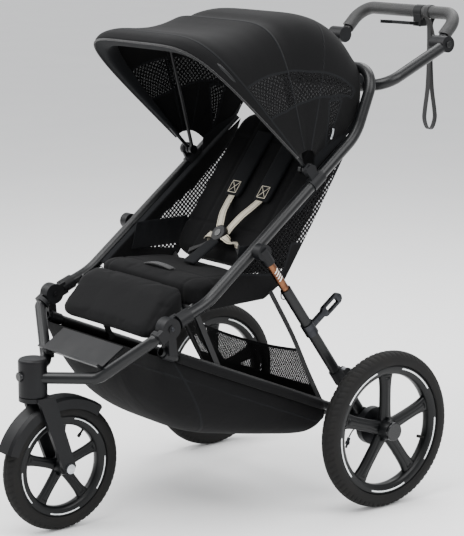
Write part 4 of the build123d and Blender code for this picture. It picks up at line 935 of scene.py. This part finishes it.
# the cloth between the canopy's rear edge and each main tube
tubeLine = np.array(mainTubeLine) * mm
tubeRun = np.r_[0, np.cumsum(np.linalg.norm(np.diff(tubeLine, axis=0), axis=1))]
for sign, side, edge in ((1, "Left", rearGrid[0]), (-1, "Right", rearGrid[0, ::-1])):
    edge = edge[edge[:, 2] < 0.985][:60]
    edge = edge[edge[:, 0] * sign > 0.1]
    run = np.r_[0, np.cumsum(np.linalg.norm(np.diff(edge[:, 1:], axis=0), axis=1))]
    foot = np.interp(edge[0, 1], tubeLine[:, 0], tubeRun) + run * 0.97
    tube = np.stack([np.full(len(run), sign * 0.214), np.interp(foot, tubeRun, tubeLine[:, 0]),
                     np.interp(foot, tubeRun, tubeLine[:, 1])], 1)
    toward = edge - tube
    toward[:, 0] = 0
    tube = tube + toward / np.linalg.norm(toward, axis=1, keepdims=True) * 8 * mm
    edge = edge - np.array([sign * 2.4 * mm, 0, 0])
    share = np.linspace(0, 1, 10)[None, :, None]
    gusset = tube[:, None] + (edge - tube)[:, None] * share * 1.04
    piece = makePiece("canopyGusset" + side, [(gusset, False, False, False)], seatCloth, "upper_frame", (),
                      closed=False)
    thicken(piece, 1.2 * mm)
print("seat made")

# ---- basket ----

basketShape = {
    "floor": [(-590, 441), (-583, 405), (-565, 345), (-540, 295), (-506, 254), (-458, 222), (-404, 202),
              (-330, 187), (-240, 172), (-150, 160), (-118, 166), (-99, 190)],
    "half": 229,
    "sag": 6,
}


def railHeight(y):
    # height of the basket rail's middle line at y (mm)
    return 426 - 0.423 * (np.asarray(y) + 531)


def basketGrid(rows, cols):
    # a trough: each cross section is a superellipse half, from the rail down to the floor line, whose sides
    # lean in towards the floor and sag between the ends; the last rows rise again as the rear wall
    table = smoothPath(basketShape["floor"], rows)
    y, floor = table[:, 0:1], table[:, 1:2]
    top = railHeight(y) - 13
    depth = np.maximum(top - floor, 2)
    t = np.linspace(0, np.pi, cols)[None, :]
    n = 4.2
    reach = (np.abs(np.cos(t)) ** n + np.abs(np.sin(t)) ** n) ** (-1 / n)
    across, down = reach * np.cos(t), reach * np.sin(t)
    fill = np.clip(depth / 150, 0, 1)
    sag = basketShape["sag"] * np.sin(np.pi * np.clip(down, 0, 1)) * fill
    x = across * (basketShape["half"] - 24 * down ** 2 * fill) + np.sign(across) * sag * 0.5
    z = top - depth * down
    trough = np.stack([x, y + 0 * x, z], -1)
    lift = np.linspace(0, 1, 12)[1:, None, None]
    last = trough[-1][None]
    rim = np.stack([last[..., 0], last[..., 1], np.full_like(last[..., 0], top[-1, 0])], -1)
    wall = last + (rim - last) * lift
    wall[..., 1] += 4 * np.sin(np.pi * lift[..., 0]) * np.cos(last[..., 0] / 150)
    return np.concatenate([trough, wall]) * mm


basketPoints = basketGrid(110, 97)
y, z = basketPoints[..., 1] / mm, basketPoints[..., 2] / mm
frontSeam = np.abs((y + 560 - (441 - z).clip(0, 300) * 0.62) * mm * 0.8)
bandSeam = np.abs(railHeight(y) - 47 - z) * mm
basket = makePiece("basketShell", [(basketPoints, False, False, False)], basketCloth, None, ["basket"],
                   {"net": np.full(y.shape, -1.0), "seam": np.minimum(frontSeam, bandSeam)},
                   closed=False)
thicken(basket, 1.8 * mm)
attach(basket, "chassis")

for sign, side in ((1, "Left"), (-1, "Right")):
    run = np.linspace(-540, -112, 60)
    middle = np.stack([np.full(60, sign * 232.0), run, railHeight(run)], 1) * mm
    turn = np.radians(np.linspace(-205, 25, 22) if sign > 0 else np.linspace(155, 385, 22))
    around = np.stack([np.cos(turn), np.sin(turn)], 1) * 13.2 * mm
    grid = middle[:, None] + np.stack([around[:, 0], 0 * around[:, 0], around[:, 1]], 1)[None]
    plain = {"net": np.full(grid.shape[:2], -1.0), "seam": np.full(grid.shape[:2], 1.0)}
    sleeve = makePiece("basketRailSleeve" + side, [(grid, False, False, False)], basketCloth, "chassis", (),
                       plain, closed=False)
    thicken(sleeve, 1.4 * mm)
    piping = middle + np.array([sign * 9.5, 0, 11.5]) * mm
    makePiece("basketPiping" + side, [bar(piping, roundSection(2.6 * mm, 2.6 * mm, 8), (0, 0, 1))],
              blackWebbing, "chassis")
    corner = smoothPath([(sign * 0.226, -0.098, 0.236), (sign * 0.2285, -0.150, 0.330),
                         (sign * 0.2285, -0.200, 0.430), (sign * 0.2235, -0.262, 0.540)], 40)
    hanger = strap("basketCornerStrap" + side, corner, 12 * mm, 1.8 * mm, (sign, 0, 0), blackWebbing, "chassis")
    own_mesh(hanger)

# the rear net rises in front of the legs; its lower part is solid
rows, cols = 60, 60
across = np.linspace(-1, 1, rows)[:, None]
climb = np.linspace(0, 1, cols)[None, :]
height = 1 - 0.10 * (1 - across ** 2)
netY = -100 - 78 * climb * height - 9 * np.sin(np.pi * climb) * (1 - across ** 2) + 0 * across
netZ = 232 + 160 * climb * height + 0 * across
netX = 224 * across + 0 * climb
grid = np.stack([netX, netY, netZ], -1) * mm
field = np.minimum((netZ - 292), 232 + 160 * height - 5 - netZ) * mm
field = np.minimum(field, (219 - np.abs(netX)) * mm)
rearNet = makePiece("basketRearNet", [(grid, False, False, False)], basketCloth, None, (),
                    {"net": field, "seam": np.full((rows, cols), 1.0)}, closed=False)
flatMap(rearNet, 0, 2)
thicken(rearNet, 1.2 * mm)
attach(rearNet, "chassis")
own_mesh(rearNet)
print("basket made")

# ---- small parts ----

# the wrist loop's side outline, y and z in mm, from the top of the grip round to the top again
loopPoints = [(374, 1164.4), (386.3, 1159.3), (391.0, 1147), (388, 1136), (379, 1122), (376.8, 1108),
              (376.6, 1040), (381, 960), (390, 905), (392, 880), (384, 859), (374, 853), (364, 859), (356, 880),
              (358, 905), (367, 960), (371.4, 1040), (371.2, 1108), (369, 1122), (360, 1136), (357.0, 1147),
              (361.7, 1159.3)]
ring = np.array([(74, y, z) for y, z in loopPoints + loopPoints[:3]], float) * mm
ring[:, 0] += np.interp(ring[:, 2], [0.85, 1.05, 1.13], [0.006, 0.001, 0])
path = smoothPath(ring, 230)
section = roundSection(15 * mm, 1.7 * mm, 20, 5)
band = bar(path, section, np.cross(np.gradient(path, axis=0), (1, 0, 0)))
makePiece("wristLoop", [band], blackWebbing, "strap", ["wrist_strap"],
          {"line": np.tile(np.abs(np.abs(section[:, 0]) - 5 * mm), (len(path), 1))})

legFoot, legTop = np.array([265, -13, 216.0]), np.array([265, -318, 645.0])
legAxis = (legTop - legFoot) / np.linalg.norm(legTop - legFoot)
for sign, side in ((1, "Left"), (-1, "Right")):
    # four slanted pale stripes part of the way round each bronze tube
    marks = []
    outward = np.array([1, 0, 0])
    over = np.cross(legAxis, outward)
    for place in (446, 454, 462, 470):
        middle = legFoot + legAxis * place
        turn = np.radians(np.linspace(-40, 38, 14))
        slope = np.linspace(-3.2, 3.2, 14)
        path = middle + 10.15 * (np.cos(turn)[:, None] * outward + np.sin(turn)[:, None] * over)
        path = (path + slope[:, None] * legAxis) * np.array([sign, 1, 1]) * mm
        lift = (path - middle * np.array([sign, 1, 1]) * mm)
        marks.append(bar(path, roundSection(3.2 * mm, 0.5 * mm, 8, 4), lift))
    makePiece("legSizeMarks" + side, marks, paleInk, "rear_legs")
    barrel = np.array([(0, 3), (2, 4.2), (9, 4.2), (10, 5.6), (17, 5.6), (18, 3), (26, 2.6), (26.5, 0.8)]) * mm
    makePiece("brakeAdjuster" + side, [lathe(barrel, (sign * 0.276, -0.060, 0.166), (0, -0.35, -0.94), 16)],
              darkSteel, "chassis")
    wire = smoothPath([(sign * 0.276, -0.060, 0.167), (sign * 0.277, -0.048, 0.182),
                       (sign * 0.280, -0.030, 0.190), (sign * 0.284, -0.018, 0.196)], 24)
    makePiece("brakeWire" + side, [bar(wire, roundSection(3.4 * mm, 3.4 * mm, 10), (0, 0.4, 1))],
              tyreRubber, "chassis")
    # a domed rivet head on each fold disc
    dome = np.array([(0, 5.2), (1.2, 5.0), (2.2, 3.6), (2.7, 1)]) * mm
    makePiece("foldRivet" + side, [lathe(dome, (sign * 0.2535, -0.564, 0.499), (sign, 0, 0), 20)],
              darkSteel, "chassis")
    # three open hooks that hold the seat's edge to the main tube
    hooks = []
    for step in range(3):
        centre = np.array([sign * 0.2215, -0.452 + 0.020 * step, 0.5285 + 0.0145 * step])
        turn = np.linspace(0.2, 5.2, 24)
        hook = centre + np.stack([0 * turn, 0.0075 * np.cos(turn), 0.0065 * np.sin(turn)], 1)
        hooks.append(bar(hook, roundSection(2.6 * mm, 2.6 * mm, 8), (1, 0, 0)))
    makePiece("seatHooks" + side, hooks, darkSteel, "upper_frame")
    # a short tab and its ring at the seat's lower rear corner
    drop = smoothPath([(sign * 0.204, -0.222, 0.560), (sign * 0.206, -0.212, 0.548),
                       (sign * 0.206, -0.207, 0.532)], 14)
    strap("reclineTab" + side, drop, 14 * mm, 1.8 * mm, (sign, 0, 0), blackWebbing, "upper_frame")
    turn = np.linspace(0, 2 * np.pi, 32, endpoint=False)
    dRing = np.stack([0 * turn + sign * 0.206, -0.205 + 0.010 * np.cos(turn),
                      0.522 + 0.011 * np.sign(np.sin(turn)) * np.abs(np.sin(turn)) ** 0.7], 1)
    grid = carried(np.vstack([dRing[-2:], dRing, dRing[:2]]), roundSection(3 * mm, 3 * mm, 10), (1, 0, 0))[2:-2]
    makePiece("reclineRing" + side, [(grid, True, True, False)], darkSteel, "upper_frame")
print("small parts made")
